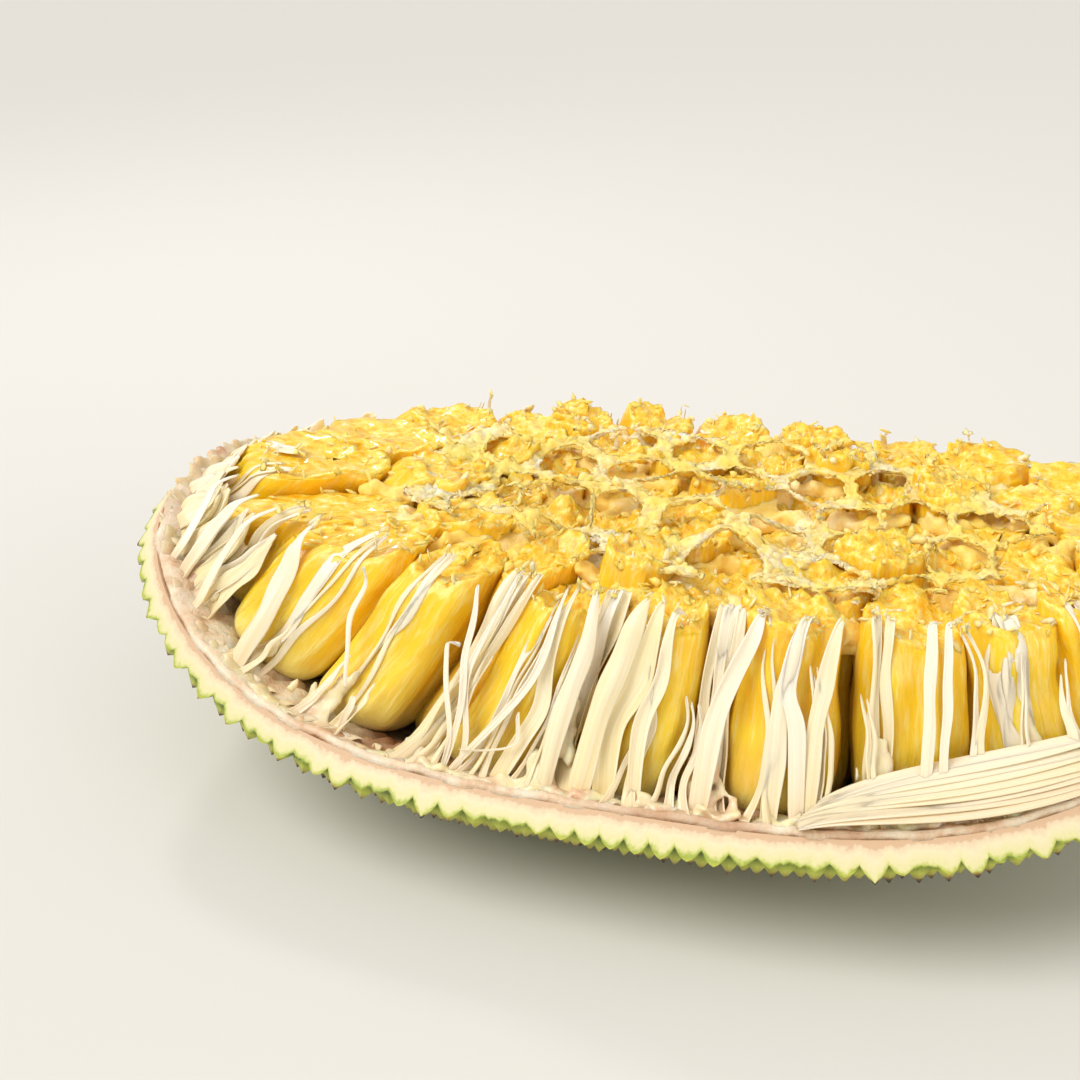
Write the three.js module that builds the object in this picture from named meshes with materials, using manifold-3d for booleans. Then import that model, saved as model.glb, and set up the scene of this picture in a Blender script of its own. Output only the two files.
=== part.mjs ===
// Half of a ripe jackfruit, opened out to be eaten. The fruit was cut along its length, its core
// was sliced away and the rind was bent back, so the half lies on its spiky rind like a shallow
// dish and the yellow bulbs stand up from it, with pale rags between them. Where the core was
// cut, a thin torn lace of it is left across the tops.
// Millimetres, +Z up. X runs along the fruit, and z = 0 is the surface that it lies on.
import * as THREE from "three";
import { mergeVertices } from "three/addons/utils/BufferGeometryUtils.js";
import Module from "manifold-3d";

const wasm = await Module();
wasm.setup();

// Driving dimensions of the rind
const LENGTH = 363;
const WIDTH = 231;
const SIDE_RIM = 35; // how far the cut edge stands above the bottom, at the sides
const END_RIM = 76; // and at the two ends, which keep more of the fruit's own curve
const END_SWEEP = 1.5; // how late the edge rises towards the ends
const SQUARENESS = 2.55; // 2 is an ellipse, more is fuller at the corners
const EGG = 0.04; // the right end is this much wider than the middle
const BOWL = 2.6; // how late the bottom turns up into the wall
const RIND = 7; // thickness without the spikes
const SPIKE_PITCH = 13;
const SPIKE_HEIGHT = 5.2;
const SPIKE_PRESSED = 2.2; // how much of a spike's tip is flattened where the fruit lies
const BED = 2.2; // the fibrous layer that lines the rind
const CLEARANCE = 0.4; // between pieces that touch
const FOOT_LIFT = 1.1; // from the uneven bed to the foot of a bulb

// Driving dimensions of the flesh
const TOP_EDGE = 98; // height of the bulbs round the edge
const TOP_MIDDLE = 92; // and in the middle, where the core was sliced out
const BULB_PITCH = 30; // along the fruit
const END_CROWDING = 0.16; // how much closer together the bulbs stand towards the two ends
const BULB_STRAY = { along: 7, across: 5 }; // how unevenly the bulbs are spaced
const BULB_DEPTH = 1.17; // a bulb is this much wider across the fruit than along it
const BULB_ROUNDING = 0.4; // how far a bulb's corners are drawn in towards a circle
const BULB_GAP = 1.3; // from a bulb's side to the border of its room
const BULB_ROOM = { along: 169, across: 102 }; // half lengths of the bed that the bulbs cover
const GATHER = 0.29; // share by which the bulbs close in towards their tops
const FULL_HEIGHT = 90; // a little more than the longest bulb
const FAN_CENTRE = 50; // the bulbs lean towards this place along the fruit
const SWAY = { along: 4, across: 3 }; // how far the tops stray from that, all together
const OUTER_RAGS = 54;
const RAG_HALF_WIDTH = { least: 1.5, most: 4.2 };
const BROAD_RAGS = { beyond: -125, times: 1.7 }; // the left end's rags are this much broader
const LACE_ABOVE = 3.6; // from the bulbs' usual top to the underside of the lace
const LACE_REACH = 0.84; // of the way out

// One seeded stream of random numbers, so that every build is the same.
let seed = 20261;
function random(low = 0, high = 1) {
  seed = (seed + 0x6d2b79f5) | 0;
  let t = Math.imul(seed ^ (seed >>> 15), 1 | seed);
  t = (t + Math.imul(t ^ (t >>> 7), 61 | t)) ^ t;
  return low + (high - low) * (((t ^ (t >>> 14)) >>> 0) / 4294967296);
}

// Solids

// A closed solid from rings of points, stacked from first to last, with a point closing each end.
function loft(rings, firstEnd, lastEnd) {
  const count = rings[0].length;
  const points = [...rings.flat(), firstEnd, lastEnd];
  const first = points.length - 2;
  const last = points.length - 1;
  const top = (rings.length - 1) * count;
  const faces = [];
  for (let i = 0; i < count; i++) {
    const next = (i + 1) % count;
    for (let r = 0; r < top; r += count) {
      faces.push(r + i, r + next, r + count + next, r + i, r + count + next, r + count + i);
    }
    faces.push(first, next, i, last, top + i, top + next);
  }
  return solidOf(points, faces);
}

function solidOf(points, faces) {
  const geometry = new THREE.BufferGeometry().setFromPoints(points);
  geometry.setIndex(faces);
  const merged = mergeVertices(geometry, 1e-4);
  const mesh = new wasm.Mesh({
    numProp: 3,
    vertProperties: new Float32Array(merged.attributes.position.array),
    triVerts: new Uint32Array(merged.index.array),
  });
  return new wasm.Manifold(mesh);
}

// The largest body of a solid, without the loose scraps that a cut may leave.
function mainBody(solid) {
  return solid.decompose().reduce((a, b) => (a.volume() > b.volume() ? a : b));
}

function meshOf(solid, name, material) {
  const { vertProperties, triVerts } = solid.getMesh();
  const geometry = new THREE.BufferGeometry();
  geometry.setAttribute("position", new THREE.BufferAttribute(vertProperties, 3));
  geometry.setIndex(new THREE.BufferAttribute(triVerts, 1));
  geometry.computeVertexNormals();
  const mesh = new THREE.Mesh(geometry, material);
  mesh.name = name;
  return mesh;
}

// The dish: a height over every place x, y

const VALLEY = SPIKE_HEIGHT - SPIKE_PRESSED; // the skin between the spikes that it lies on

// How far out x, y lies, from 0 in the middle to 1 on the rim, and how much of that is lengthwise.
function place(x, y, along = LENGTH / 2, across = WIDTH / 2) {
  const lengthwise = Math.abs(x / along) ** SQUARENESS;
  const sideways = Math.abs(y / (across * (1 + (EGG * x) / along))) ** SQUARENESS;
  const both = lengthwise + sideways;
  return { share: both ** (1 / SQUARENESS), endwards: both > 0 ? lengthwise / both : 0 };
}

function skinHeight(x, y) {
  const { share, endwards } = place(x, y);
  const rim = SIDE_RIM + (END_RIM - SIDE_RIM) * endwards ** END_SWEEP;
  return VALLEY + rim * share ** BOWL;
}

// The direction across the rind, from the skin up into the dish.
function inward(x, y) {
  const step = 0.5;
  const slopeX = (skinHeight(x + step, y) - skinHeight(x - step, y)) / (2 * step);
  const slopeY = (skinHeight(x, y + step) - skinHeight(x, y - step)) / (2 * step);
  return new THREE.Vector3(-slopeX, -slopeY, 1).normalize();
}

// The height of a surface that lies this far inside the skin, measured across the rind.
function layerHeight(x, y, depth) {
  return skinHeight(x, y) + depth / inward(x, y).z;
}

// Points round an outline that lies at this share of the way out.
function outline(share, count, along = LENGTH / 2, across = WIDTH / 2) {
  return Array.from({ length: count }, (_, i) => {
    const turn = (i / count) * 2 * Math.PI;
    const x = Math.cos(turn) * along;
    const y = Math.sin(turn) * across;
    const size = share / place(x, y, along, across).share;
    return new THREE.Vector2(x * size, y * size);
  });
}

// All the space above a layer of the dish. Bumps make the layer uneven.
function spaceAbove(depth, shares, count, bump = 0) {
  const ceiling = 220;
  const rings = shares.map((share) =>
    outline(share, count).map(
      ({ x, y }) => new THREE.Vector3(x, y, layerHeight(x, y, depth) + random(-bump, bump)),
    ),
  );
  rings.push(rings.at(-1).map((p) => new THREE.Vector3(p.x, p.y, ceiling)));
  return loft(
    rings,
    new THREE.Vector3(0, 0, layerHeight(0, 0, depth)),
    new THREE.Vector3(0, 0, ceiling),
  );
}

// All the space inside the knife's cut, which crosses the rind squarely at the rim, and above the
// surface that the fruit lies on.
function insideCut() {
  const below = 9; // reaches past the spikes
  const above = 42; // reaches past the bed
  const crown = 150;
  const rim = outline(1, 84).map(({ x, y }) => new THREE.Vector3(x, y, skinHeight(x, y)));
  const across = (p, distance) => inward(p.x, p.y).multiplyScalar(distance).add(p);
  const outer = rim.map((p) => across(p, -below));
  const foot = outer.map((p) => new THREE.Vector3(p.x, p.y, 0));
  const inner = rim.map((p) => across(p, above));
  return loft([foot, outer, inner], new THREE.Vector3(0, 0, 0), new THREE.Vector3(0, 0, crown));
}

// Rind: its skin is a mesh of hexagons, and the middle of each one is drawn out into a spike.
function spikySpace() {
  const side = SPIKE_PITCH / Math.sqrt(3); // between the points of the mesh
  const rowStep = (side * Math.sqrt(3)) / 2;
  const spare = 20;
  const columns = Math.ceil((LENGTH / 2 + spare) / side);
  const rows = Math.ceil((WIDTH / 2 + spare) / rowStep);
  const wide = 2 * columns + 1;
  const high = 2 * rows + 1;
  const unevenness = 0.5;
  const ceiling = 220;
  const points = [];
  for (let j = -rows; j <= rows; j++) {
    const odd = Math.abs(j) % 2;
    for (let i = -columns; i <= columns; i++) {
      const isTip = (((i - (j - odd) / 2 - j) % 3) + 3) % 3 === 0;
      const isMiddle = i === 0 && j === 0;
      const shift = isMiddle ? 0 : unevenness;
      const x = (i + odd / 2) * side + random(-shift, shift);
      const y = j * rowStep + random(-shift, shift);
      const point = new THREE.Vector3(x, y, skinHeight(x, y));
      const height = isTip ? SPIKE_HEIGHT * random(0.88, 1.12) : 0;
      points.push(point.addScaledVector(inward(x, y), -height));
    }
  }
  const faces = [];
  const at = (i, j) => j * wide + i;
  for (let j = 0; j < high - 1; j++) {
    const odd = Math.abs(j - rows) % 2;
    for (let i = 0; i < wide - 1; i++) {
      const [a, b, c, d] = [at(i, j), at(i + 1, j), at(i, j + 1), at(i + 1, j + 1)];
      if (odd) faces.push(a, d, b, a, c, d);
      else faces.push(a, c, b, b, c, d);
    }
  }
  // The sides and the flat lid close the space above the skin.
  const border = [];
  for (let i = 0; i < wide - 1; i++) border.push(at(i, 0));
  for (let j = 0; j < high - 1; j++) border.push(at(wide - 1, j));
  for (let i = wide - 1; i > 0; i--) border.push(at(i, high - 1));
  for (let j = high - 1; j > 0; j--) border.push(at(0, j));
  const lid = points.length;
  for (const index of border) {
    points.push(new THREE.Vector3(points[index].x, points[index].y, ceiling));
  }
  const centre = points.push(new THREE.Vector3(0, 0, ceiling)) - 1;
  border.forEach((index, k) => {
    const nextK = (k + 1) % border.length;
    faces.push(index, border[nextK], lid + nextK, index, lid + nextK, lid + k);
    faces.push(centre, lid + k, lid + nextK);
  });
  return solidOf(points, faces);
}

// The rings and sides that the dish's inner surfaces are made of.
const LAYER_SHARES = [0.25, 0.45, 0.62, 0.77, 0.9, 1.02, 1.14];
const LAYER_SIDES = 36;

function makeRind(cut) {
  const inside = spaceAbove(RIND, LAYER_SHARES, LAYER_SIDES);
  return mainBody(spikySpace().intersect(cut).subtract(inside));
}

// The flesh is placed by u, v, the spot on the bed that it grows from, and by its height over
// that spot. As it rises it closes in and leans towards the fan's centre. Two spots never come
// together, so pieces that are apart on the bed stay apart all the way up.
function bedHeight(u, v) {
  return layerHeight(u, v, RIND + CLEARANCE + BED);
}

function risen(u, v, height) {
  const pull = GATHER * (1 - Math.max(0, 1 - height / FULL_HEIGHT) ** 1.6);
  const rise = height / FULL_HEIGHT;
  const swayX = SWAY.along * Math.sin(u / 31 + v / 47) * rise;
  const swayY = SWAY.across * Math.sin(u / 43 - v / 29 + 1) * rise;
  const x = FAN_CENTRE + (u - FAN_CENTRE) * (1 - pull) + swayX;
  return new THREE.Vector3(x, v * (1 - pull) + swayY, bedHeight(u, v) + height);
}

function topHeight(u, v) {
  const { share } = place(u, v, BULB_ROOM.along, BULB_ROOM.across);
  return TOP_MIDDLE + (TOP_EDGE - TOP_MIDDLE) * Math.min(1, share) ** 2;
}

// The point over u, v at a share of the way from the bed to the top, lifted by some millimetres.
function standing(u, v, share, lift = 0, top = topHeight(u, v)) {
  return risen(u, v, (top - bedHeight(u, v)) * share + lift);
}

// The rooms of the bulbs: the bed is shared out so that each spot goes to the nearest bulb. Here
// the bed is drawn narrower by the bulbs' depth, which makes the rooms deep when it is undone.
const onBed = (p) => new THREE.Vector2(p.x, p.y * BULB_DEPTH);
const NARROW_ACROSS = BULB_ROOM.across / BULB_DEPTH;
const GROUND = outline(1, 48, BULB_ROOM.along, NARROW_ACROSS);

// The part of a polygon on the near side of the line halfway between two points.
function nearerTo(own, other, polygon) {
  const middle = own.clone().add(other).multiplyScalar(0.5);
  const away = other.clone().sub(own);
  const beyond = (p) => p.clone().sub(middle).dot(away);
  const kept = [];
  polygon.forEach((p, i) => {
    const q = polygon[(i + 1) % polygon.length];
    const [atP, atQ] = [beyond(p), beyond(q)];
    if (atP <= 0) kept.push(p);
    if (atP * atQ < 0) kept.push(p.clone().lerp(q, atP / (atP - atQ)));
  });
  return kept;
}

function roomOf(own, sites) {
  return sites.reduce((room, other) => (other === own ? room : nearerTo(own, other, room)), GROUND);
}

function centreOf(polygon) {
  let area = 0;
  const centre = new THREE.Vector2();
  polygon.forEach((p, i) => {
    const q = polygon[(i + 1) % polygon.length];
    const cross = p.cross(q);
    area += cross;
    centre.addScaledVector(p, cross).addScaledVector(q, cross);
  });
  return centre.divideScalar(3 * area);
}

function bulbRooms() {
  const { along, across } = BULB_STRAY;
  const rowStep = (BULB_PITCH * Math.sqrt(3)) / 2;
  const rows = Math.round(NARROW_ACROSS / rowStep);
  let sites = [];
  for (let j = -rows; j <= rows; j++) {
    const shift = Math.abs(j) % 2 ? BULB_PITCH / 2 : 0;
    for (let u = -BULB_ROOM.along + shift; u <= BULB_ROOM.along; u += BULB_PITCH) {
      const t = u / BULB_ROOM.along;
      const crowded = (u * (1 - END_CROWDING * t * t)) / (1 - END_CROWDING);
      const x = crowded + random(-along, along);
      const y = j * rowStep + random(-across, across);
      const { share } = place(x, y, BULB_ROOM.along, NARROW_ACROSS);
      if (share < 0.94) sites.push(new THREE.Vector2(x, y));
    }
  }
  sites = sites.map((site) => centreOf(roomOf(site, sites)));
  return sites.map((site) => roomOf(site, sites).map(onBed));
}

// The distance from a point to the edge of the polygon round it, in one direction.
function reach(from, direction, polygon) {
  let best = Infinity;
  polygon.forEach((p, i) => {
    const edge = polygon[(i + 1) % polygon.length].clone().sub(p);
    const cross = direction.cross(edge);
    const distance = p.clone().sub(from).cross(edge) / cross;
    const along = p.clone().sub(from).cross(direction) / cross;
    if (distance > 0 && along >= -1e-6 && along <= 1 + 1e-6) best = Math.min(best, distance);
  });
  return best;
}

// Bulb: a fleshy bag with a round foot, widest low down, narrowing to the end where it was cut
// from the core, which is a little hollow.
const BULB_SIDES = 8;
const BULB_FORM = [
  { share: 0.015, size: 0.66 },
  { share: 0.14, size: 0.96 },
  { share: 0.42, size: 1 },
  { share: 0.76, size: 0.95 },
  { share: 0.985, size: 0.78 },
];

function makeBulb(room) {
  const centre = centreOf(room);
  const top = topHeight(centre.x, centre.y) + random(-3.5, 1.2);
  const turn = random(0, Math.PI);
  const directions = Array.from({ length: BULB_SIDES }, (_, i) => {
    const angle = turn + (i / BULB_SIDES) * 2 * Math.PI;
    return new THREE.Vector2(Math.cos(angle), Math.sin(angle));
  });
  const reaches = directions.map((d) => reach(centre, d, room));
  const least = Math.min(...reaches);
  const radii = reaches.map((r) => r + (least - r) * BULB_ROUNDING - BULB_GAP);
  const rings = BULB_FORM.map(({ share, size }) =>
    directions.map((d, i) => {
      const ground = centre.clone().addScaledVector(d, radii[i] * size);
      return standing(ground.x, ground.y, share, FOOT_LIFT, top);
    }),
  );
  const foot = standing(centre.x, centre.y, 0, FOOT_LIFT, top);
  const cutEnd = standing(centre.x, centre.y, 0.93, 0, top);
  return loft(rings, foot, cutEnd);
}

// Rag: a flat strand from the bed towards the core. It grows from one spot on the bed, its broad
// side along the given direction, and is drawn that way by the drift at each height. Ahead is how
// far it stands out sideways, at its foot and at its end.
function makeRag({ spot, direction, halfWidth, halfThickness, height, drifts, ahead }) {
  const side = new THREE.Vector2(direction.y, -direction.x);
  const form = [
    { share: 0, size: 1.5, lift: -0.7 * BED },
    { share: 0.42, size: 1, lift: 0 },
    { share: 0.76, size: 0.85, lift: 0 },
  ].filter(({ share }) => share < height - 0.1);
  form.push({ share: height, size: 0.7, lift: 0 });
  const corners = [
    [1, 1],
    [1, -1],
    [-1, -1],
    [-1, 1],
  ];
  const rings = form.map(({ share, size, lift }, k) => {
    const drift = drifts[k] * share;
    const out = ahead[0] + (ahead[1] - ahead[0]) * share;
    return corners.map(([a, b]) => {
      const g = spot
        .clone()
        .addScaledVector(direction, a * halfWidth * size + drift)
        .addScaledVector(side, b * halfThickness + out);
      return standing(g.x, g.y, share, lift);
    });
  });
  const middle = (ring) =>
    ring.reduce((sum, p) => sum.add(p), new THREE.Vector3()).divideScalar(ring.length);
  return loft(rings, middle(rings[0]), middle(rings.at(-1)));
}

// The spots where three bulbs or more meet.
function meetings(rooms) {
  const found = new Map();
  for (const p of rooms.flat()) {
    const key = `${Math.round(p.x / 2)},${Math.round(p.y / 2)}`;
    const spot = found.get(key) ?? { p, count: 0 };
    spot.count += 1;
    found.set(key, spot);
  }
  return [...found.values()].filter(({ count }) => count >= 3).map(({ p }) => p);
}

// An uneven but well spread share for each of a row of things.
const spread = (k, step) => (k * step) % 1;

// Rag number k of those that stand all round the edge, in front of the outer bulbs.
function outerRag(k, path) {
  const spot = path[4 * k + Math.floor(3 * spread(k, 0.618))];
  const next = path[(path.indexOf(spot) + 1) % path.length];
  const { least, most } = RAG_HALF_WIDTH;
  const broad = spot.x < BROAD_RAGS.beyond ? BROAD_RAGS.times : 1;
  return makeRag({
    spot,
    direction: next.clone().sub(spot).normalize(),
    halfWidth: (least + (most - least) * spread(k, 0.414)) * broad,
    halfThickness: 0.8,
    height: 0.55 + 0.45 * spread(k, 0.732),
    drifts: [0, 1, 2, 3].map((ring) => 10 * spread(4 * k + ring, 0.236) - 5),
    ahead: [2.4, 0.8],
  });
}

// A narrow rag in the gap where bulbs meet.
function innerRag(spot) {
  const angle = random(0, Math.PI);
  return makeRag({
    spot,
    direction: new THREE.Vector2(Math.cos(angle), Math.sin(angle)),
    halfWidth: 1.8,
    halfThickness: 1.1,
    height: random(0.75, 1),
    drifts: [0, 0, 0, 0],
    ahead: [0, 0],
  });
}

function makeRags(rooms) {
  const shareOfGaps = 0.35; // the gaps that hold a rag of their own
  const inner = meetings(rooms).filter(() => random() < shareOfGaps);
  const path = outline(1, 4 * OUTER_RAGS, BULB_ROOM.along, BULB_ROOM.across);
  const outer = Array.from({ length: OUTER_RAGS }, (_, k) => outerRag(k, path));
  return [...inner.map(innerRag), ...outer];
}

// Bed: the fibrous lining of the rind, with every rag rooted in it.
function makeBed(cut, rooms) {
  const overRind = spaceAbove(RIND + CLEARANCE, LAYER_SHARES, LAYER_SIDES);
  const overBed = spaceAbove(RIND + CLEARANCE + BED, LAYER_SHARES, LAYER_SIDES, 0.5);
  const lining = overRind.subtract(overBed).intersect(cut);
  const rags = wasm.Manifold.union(makeRags(rooms)).intersect(overRind);
  return mainBody(lining.add(rags)).simplify(0.05);
}

// Core lace: what the knife left of the core, a thin torn web that lies on the bulbs. It has a
// hole over each bulb, large or small, and it is missing over a few.
function makeLace(rooms) {
  const edge = outline(LACE_REACH, 40, BULB_ROOM.along, BULB_ROOM.across);
  const torn = edge.map((p) => p.multiplyScalar(random(0.86, 1)).toArray());
  const holes = rooms.map((room) => {
    const centre = centreOf(room);
    const opening = random() < 0.1 ? 1.1 : random(0.55, 0.86);
    return room.map((p) => centre.clone().lerp(p, opening * random(0.85, 1.1)).toArray());
  });
  const web = wasm.CrossSection.union(holes.map((hole) => new wasm.CrossSection([hole])));
  const sheet = new wasm.CrossSection([torn]).subtract(web).simplify(0.4);
  const solid = sheet.extrude(1).warp((p) => {
    const [u, v, isUpper] = p;
    const lift = LACE_ABOVE + random(0, 0.6) + isUpper * random(2, 4.4);
    standing(u, v, 1, lift).toArray(p);
  });
  return mainBody(solid);
}

const material = {
  rind: new THREE.MeshStandardMaterial({ color: 0x9aa84a, roughness: 0.6, metalness: 0 }),
  bed: new THREE.MeshStandardMaterial({ color: 0xe6d3b3, roughness: 0.45, metalness: 0 }),
  bulb: new THREE.MeshStandardMaterial({ color: 0xf2bf2a, roughness: 0.3, metalness: 0 }),
  lace: new THREE.MeshStandardMaterial({ color: 0xe2c994, roughness: 0.4, metalness: 0 }),
};

const jackfruit = new THREE.Group();
const cut = insideCut();
const rooms = bulbRooms();
jackfruit.add(meshOf(makeRind(cut), "rind", material.rind));
jackfruit.add(meshOf(makeBed(cut, rooms), "rag_bed", material.bed));
rooms.forEach((room, i) => {
  const name = `bulb_${String(i + 1).padStart(2, "0")}`;
  jackfruit.add(meshOf(makeBulb(room), name, material.bulb));
});
jackfruit.add(meshOf(makeLace(rooms), "core_lace", material.lace));

export default jackfruit;
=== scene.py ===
# %% [markdown]
# # Half of a ripe jackfruit, opened out to be eaten
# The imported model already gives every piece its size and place: a spiky rind bent back into a
# dish, a fibrous lining, fifty-four bulbs, and a torn web of core across the tops. Here each of
# them gets the surface that the fruit really has. Blender counts in metres, but a fruit is easier
# to think of in millimetres, so the formulas use those, and the points are turned to metres when
# they are written to a mesh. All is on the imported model's frame, so nothing is fitted afterwards.

import math

import bpy
import numpy as np
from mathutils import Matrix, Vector, noise
from mathutils.bvhtree import BVHTree


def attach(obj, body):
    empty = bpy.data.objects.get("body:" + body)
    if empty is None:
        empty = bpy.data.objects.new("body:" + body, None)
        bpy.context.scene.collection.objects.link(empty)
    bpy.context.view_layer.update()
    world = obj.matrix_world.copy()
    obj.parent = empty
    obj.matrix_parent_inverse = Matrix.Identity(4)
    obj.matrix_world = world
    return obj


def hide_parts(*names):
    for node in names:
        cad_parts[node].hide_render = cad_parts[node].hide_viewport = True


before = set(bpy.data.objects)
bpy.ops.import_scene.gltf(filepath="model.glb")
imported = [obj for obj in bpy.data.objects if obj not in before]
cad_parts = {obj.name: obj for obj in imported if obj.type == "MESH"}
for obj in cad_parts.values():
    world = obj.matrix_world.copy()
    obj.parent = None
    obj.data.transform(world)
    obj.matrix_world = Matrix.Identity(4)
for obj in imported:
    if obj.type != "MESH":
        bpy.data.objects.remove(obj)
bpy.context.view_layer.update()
MM = 0.001

# %% [markdown]
# ## Helpers for modelling
# A modelling operator acts on all that is selected, so the first helper selects one piece and
# nothing else. The others add a piece, apply a modifier for good, read and move a piece's points,
# and keep a number on each point for the materials. Fruit could be sculpted by hand with brushes,
# but a formula that moves every point gives the same shape on each run.


# %% Select, edit, finish
def select_only(*chosen):
    bpy.ops.object.select_all(action="DESELECT")
    for piece in chosen:
        piece.select_set(True)
    bpy.context.view_layer.objects.active = chosen[0]


def add_object(name, data):
    made = bpy.data.objects.new(name, data)
    bpy.context.scene.collection.objects.link(made)
    return made


def edit(piece, *steps):
    """Runs each step, an operator with its settings, on all of the piece in edit mode."""
    select_only(piece)
    bpy.ops.object.mode_set(mode="EDIT")
    bpy.ops.mesh.select_all(action="SELECT")
    for operator, settings in steps:
        operator(**settings)
    bpy.ops.object.mode_set(mode="OBJECT")


def apply_modifier(piece, kind, **settings):
    modifier = piece.modifiers.new(kind.title(), kind)
    for name, value in settings.items():
        setattr(modifier, name, value)
    select_only(piece)
    bpy.ops.object.modifier_apply(modifier=modifier.name)


def shade_smooth(piece):
    select_only(piece)
    bpy.ops.object.shade_smooth()


def points_of(piece):
    """The piece's points in millimetres, one row each."""
    flat = np.empty(3 * len(piece.data.vertices))
    piece.data.vertices.foreach_get("co", flat)
    return flat.reshape(-1, 3) / MM


def normals_of(piece):
    """The direction straight out of the surface at each point, one row each."""
    return np.array([vertex.normal[:] for vertex in piece.data.vertices])


def move_points(piece, points):
    """Sets the piece's points, given in millimetres."""
    piece.data.vertices.foreach_set("co", (points * MM).ravel())
    piece.data.update()


def keep_on_points(piece, name, values):
    """Keeps a number, or a row of three, on each point for the materials to read."""
    values = np.asarray(values, float)
    kind, field = ("FLOAT", "value") if values.ndim == 1 else ("FLOAT_VECTOR", "vector")
    attribute = piece.data.attributes.new(name, kind, "POINT")
    attribute.data.foreach_set(field, values.ravel())


def grid_sheet(name, columns, rows):
    """A flat grid, with each point's share of the way along the columns and the rows."""
    bpy.ops.object.select_all(action="DESELECT")
    bpy.ops.mesh.primitive_grid_add(x_subdivisions=columns, y_subdivisions=rows, size=2)
    sheet = bpy.context.object
    sheet.name = name
    flat = points_of(sheet) * MM
    return sheet, (flat[:, 0] + 1) / 2, (flat[:, 1] + 1) / 2


# %% [markdown]
# Fruit is uneven in a soft way. Plain random numbers would make it look like sandpaper, so the
# unevenness comes from fractal noise, which changes slowly from point to point. The second helper
# blends from one thing to another without an edge.


# %% Natural unevenness
def lumps(points, size, detail=2, seed=0):
    """Uneven natural lumps of about this size in millimetres, from -1 to 1, at each point."""
    shift = 17.3 * seed
    scaled = (np.asarray(points) / size + shift).tolist()
    rough = [noise.fractal(p, 0.7, 2.0, detail) for p in scaled]
    return np.clip(np.array(rough), -1, 1)


def smooth_step(low, high, values):
    t = np.clip((values - low) / (high - low), 0, 1)
    return t * t * (3 - 2 * t)


# %% [markdown]
# ## The shape of the dish
# The opened half rests on its skin and bends up to a rim that is highest at both ends. A dish could
# be drawn with curves, but here its height is a formula, so that the spikes, the lining and the
# rags can all be set on it to a fraction of a millimetre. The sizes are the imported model's own. A
# place is named by its share of the way out, 0 in the middle and 1 on the rim.

# %% Dish sizes and formulas, in millimetres
LENGTH, WIDTH = 363, 231
SIDE_RIM, END_RIM, END_SWEEP = 35, 76, 1.5
SQUARENESS, EGG, BOWL = 2.55, 0.04, 2.6
VALLEY = 3.0  # the skin between the spikes that the fruit lies on
RIND, BED, CLEARANCE = 7, 2.2, 0.4
BED_DEPTH = RIND + CLEARANCE + BED  # from the skin to the top of the lining
SLOPE_STEP = 0.5  # the slope at a spot is measured over this distance to either side


def place(x, y, along=LENGTH / 2, across=WIDTH / 2):
    """The share of the way out at a spot, and how much of that is towards an end."""
    lengthwise = np.abs(x / along) ** SQUARENESS
    sideways = np.abs(y / (across * (1 + EGG * x / along))) ** SQUARENESS
    both = lengthwise + sideways
    return both ** (1 / SQUARENESS), lengthwise / np.maximum(both, 1e-12)


def skin_height(x, y):
    share, endwards = place(x, y)
    return VALLEY + (SIDE_RIM + (END_RIM - SIDE_RIM) * endwards**END_SWEEP) * share**BOWL


def inward(x, y):
    """The direction across the rind, from the skin up into the dish."""
    slope_x = skin_height(x + SLOPE_STEP, y) - skin_height(x - SLOPE_STEP, y)
    slope_y = skin_height(x, y + SLOPE_STEP) - skin_height(x, y - SLOPE_STEP)
    slope_x, slope_y = slope_x / (2 * SLOPE_STEP), slope_y / (2 * SLOPE_STEP)
    across = np.stack([-slope_x, -slope_y, np.ones_like(slope_x)], axis=-1)
    return across / np.linalg.norm(across, axis=-1, keepdims=True)


def under_skin(x, y, depth):
    """The points this far inside the skin, measured across the rind."""
    skin = np.stack([x, y, skin_height(x, y)], axis=-1)
    return skin + inward(x, y) * np.asarray(depth)[..., None]


def on_outline(turn, share, along=LENGTH / 2, across=WIDTH / 2):
    """The place in this direction, turn going from 0 to 1, at this share of the way out."""
    x = np.cos(2 * np.pi * turn) * along
    y = np.sin(2 * np.pi * turn) * across
    size = share / place(x, y, along, across)[0]
    return x * size, y * size


print("rim height:", round(float(skin_height(0.0, WIDTH / 2))), "mm at the side")

# %% [markdown]
# ## How the flesh leans
# Every bulb and rag grows from a spot u, v on the lining. As it rises it closes in on the others
# and sways a little. Each one could be bent by hand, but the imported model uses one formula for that
# lean, and it is repeated here, so that a rag made here stands in the same gap between the bulbs
# as its plain solid does.

# %% Lean of the flesh
BULB_ROOM = (169, 102)  # half lengths of the bed that the bulbs cover
TOP_EDGE, TOP_MIDDLE = 98, 92  # how high the bulbs' tops stand
GATHER, FULL_HEIGHT, FAN_CENTRE = 0.29, 90, 50
SWAY_ALONG, SWAY_ACROSS = 4, 3


def bed_height(u, v):
    return skin_height(u, v) + BED_DEPTH / inward(u, v)[..., 2]


def pull_at(height):
    """The share by which the flesh has closed in at this height."""
    return GATHER * (1 - np.maximum(0, 1 - height / FULL_HEIGHT) ** 1.6)


def risen(u, v, height):
    """Where the flesh that grows from u, v stands at this height over the lining."""
    pull = pull_at(height)
    rise = height / FULL_HEIGHT
    x = FAN_CENTRE + (u - FAN_CENTRE) * (1 - pull) + SWAY_ALONG * np.sin(u / 31 + v / 47) * rise
    y = v * (1 - pull) + SWAY_ACROSS * np.sin(u / 43 - v / 29 + 1) * rise
    return np.stack([x, y, bed_height(u, v) + height], axis=-1)


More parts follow.
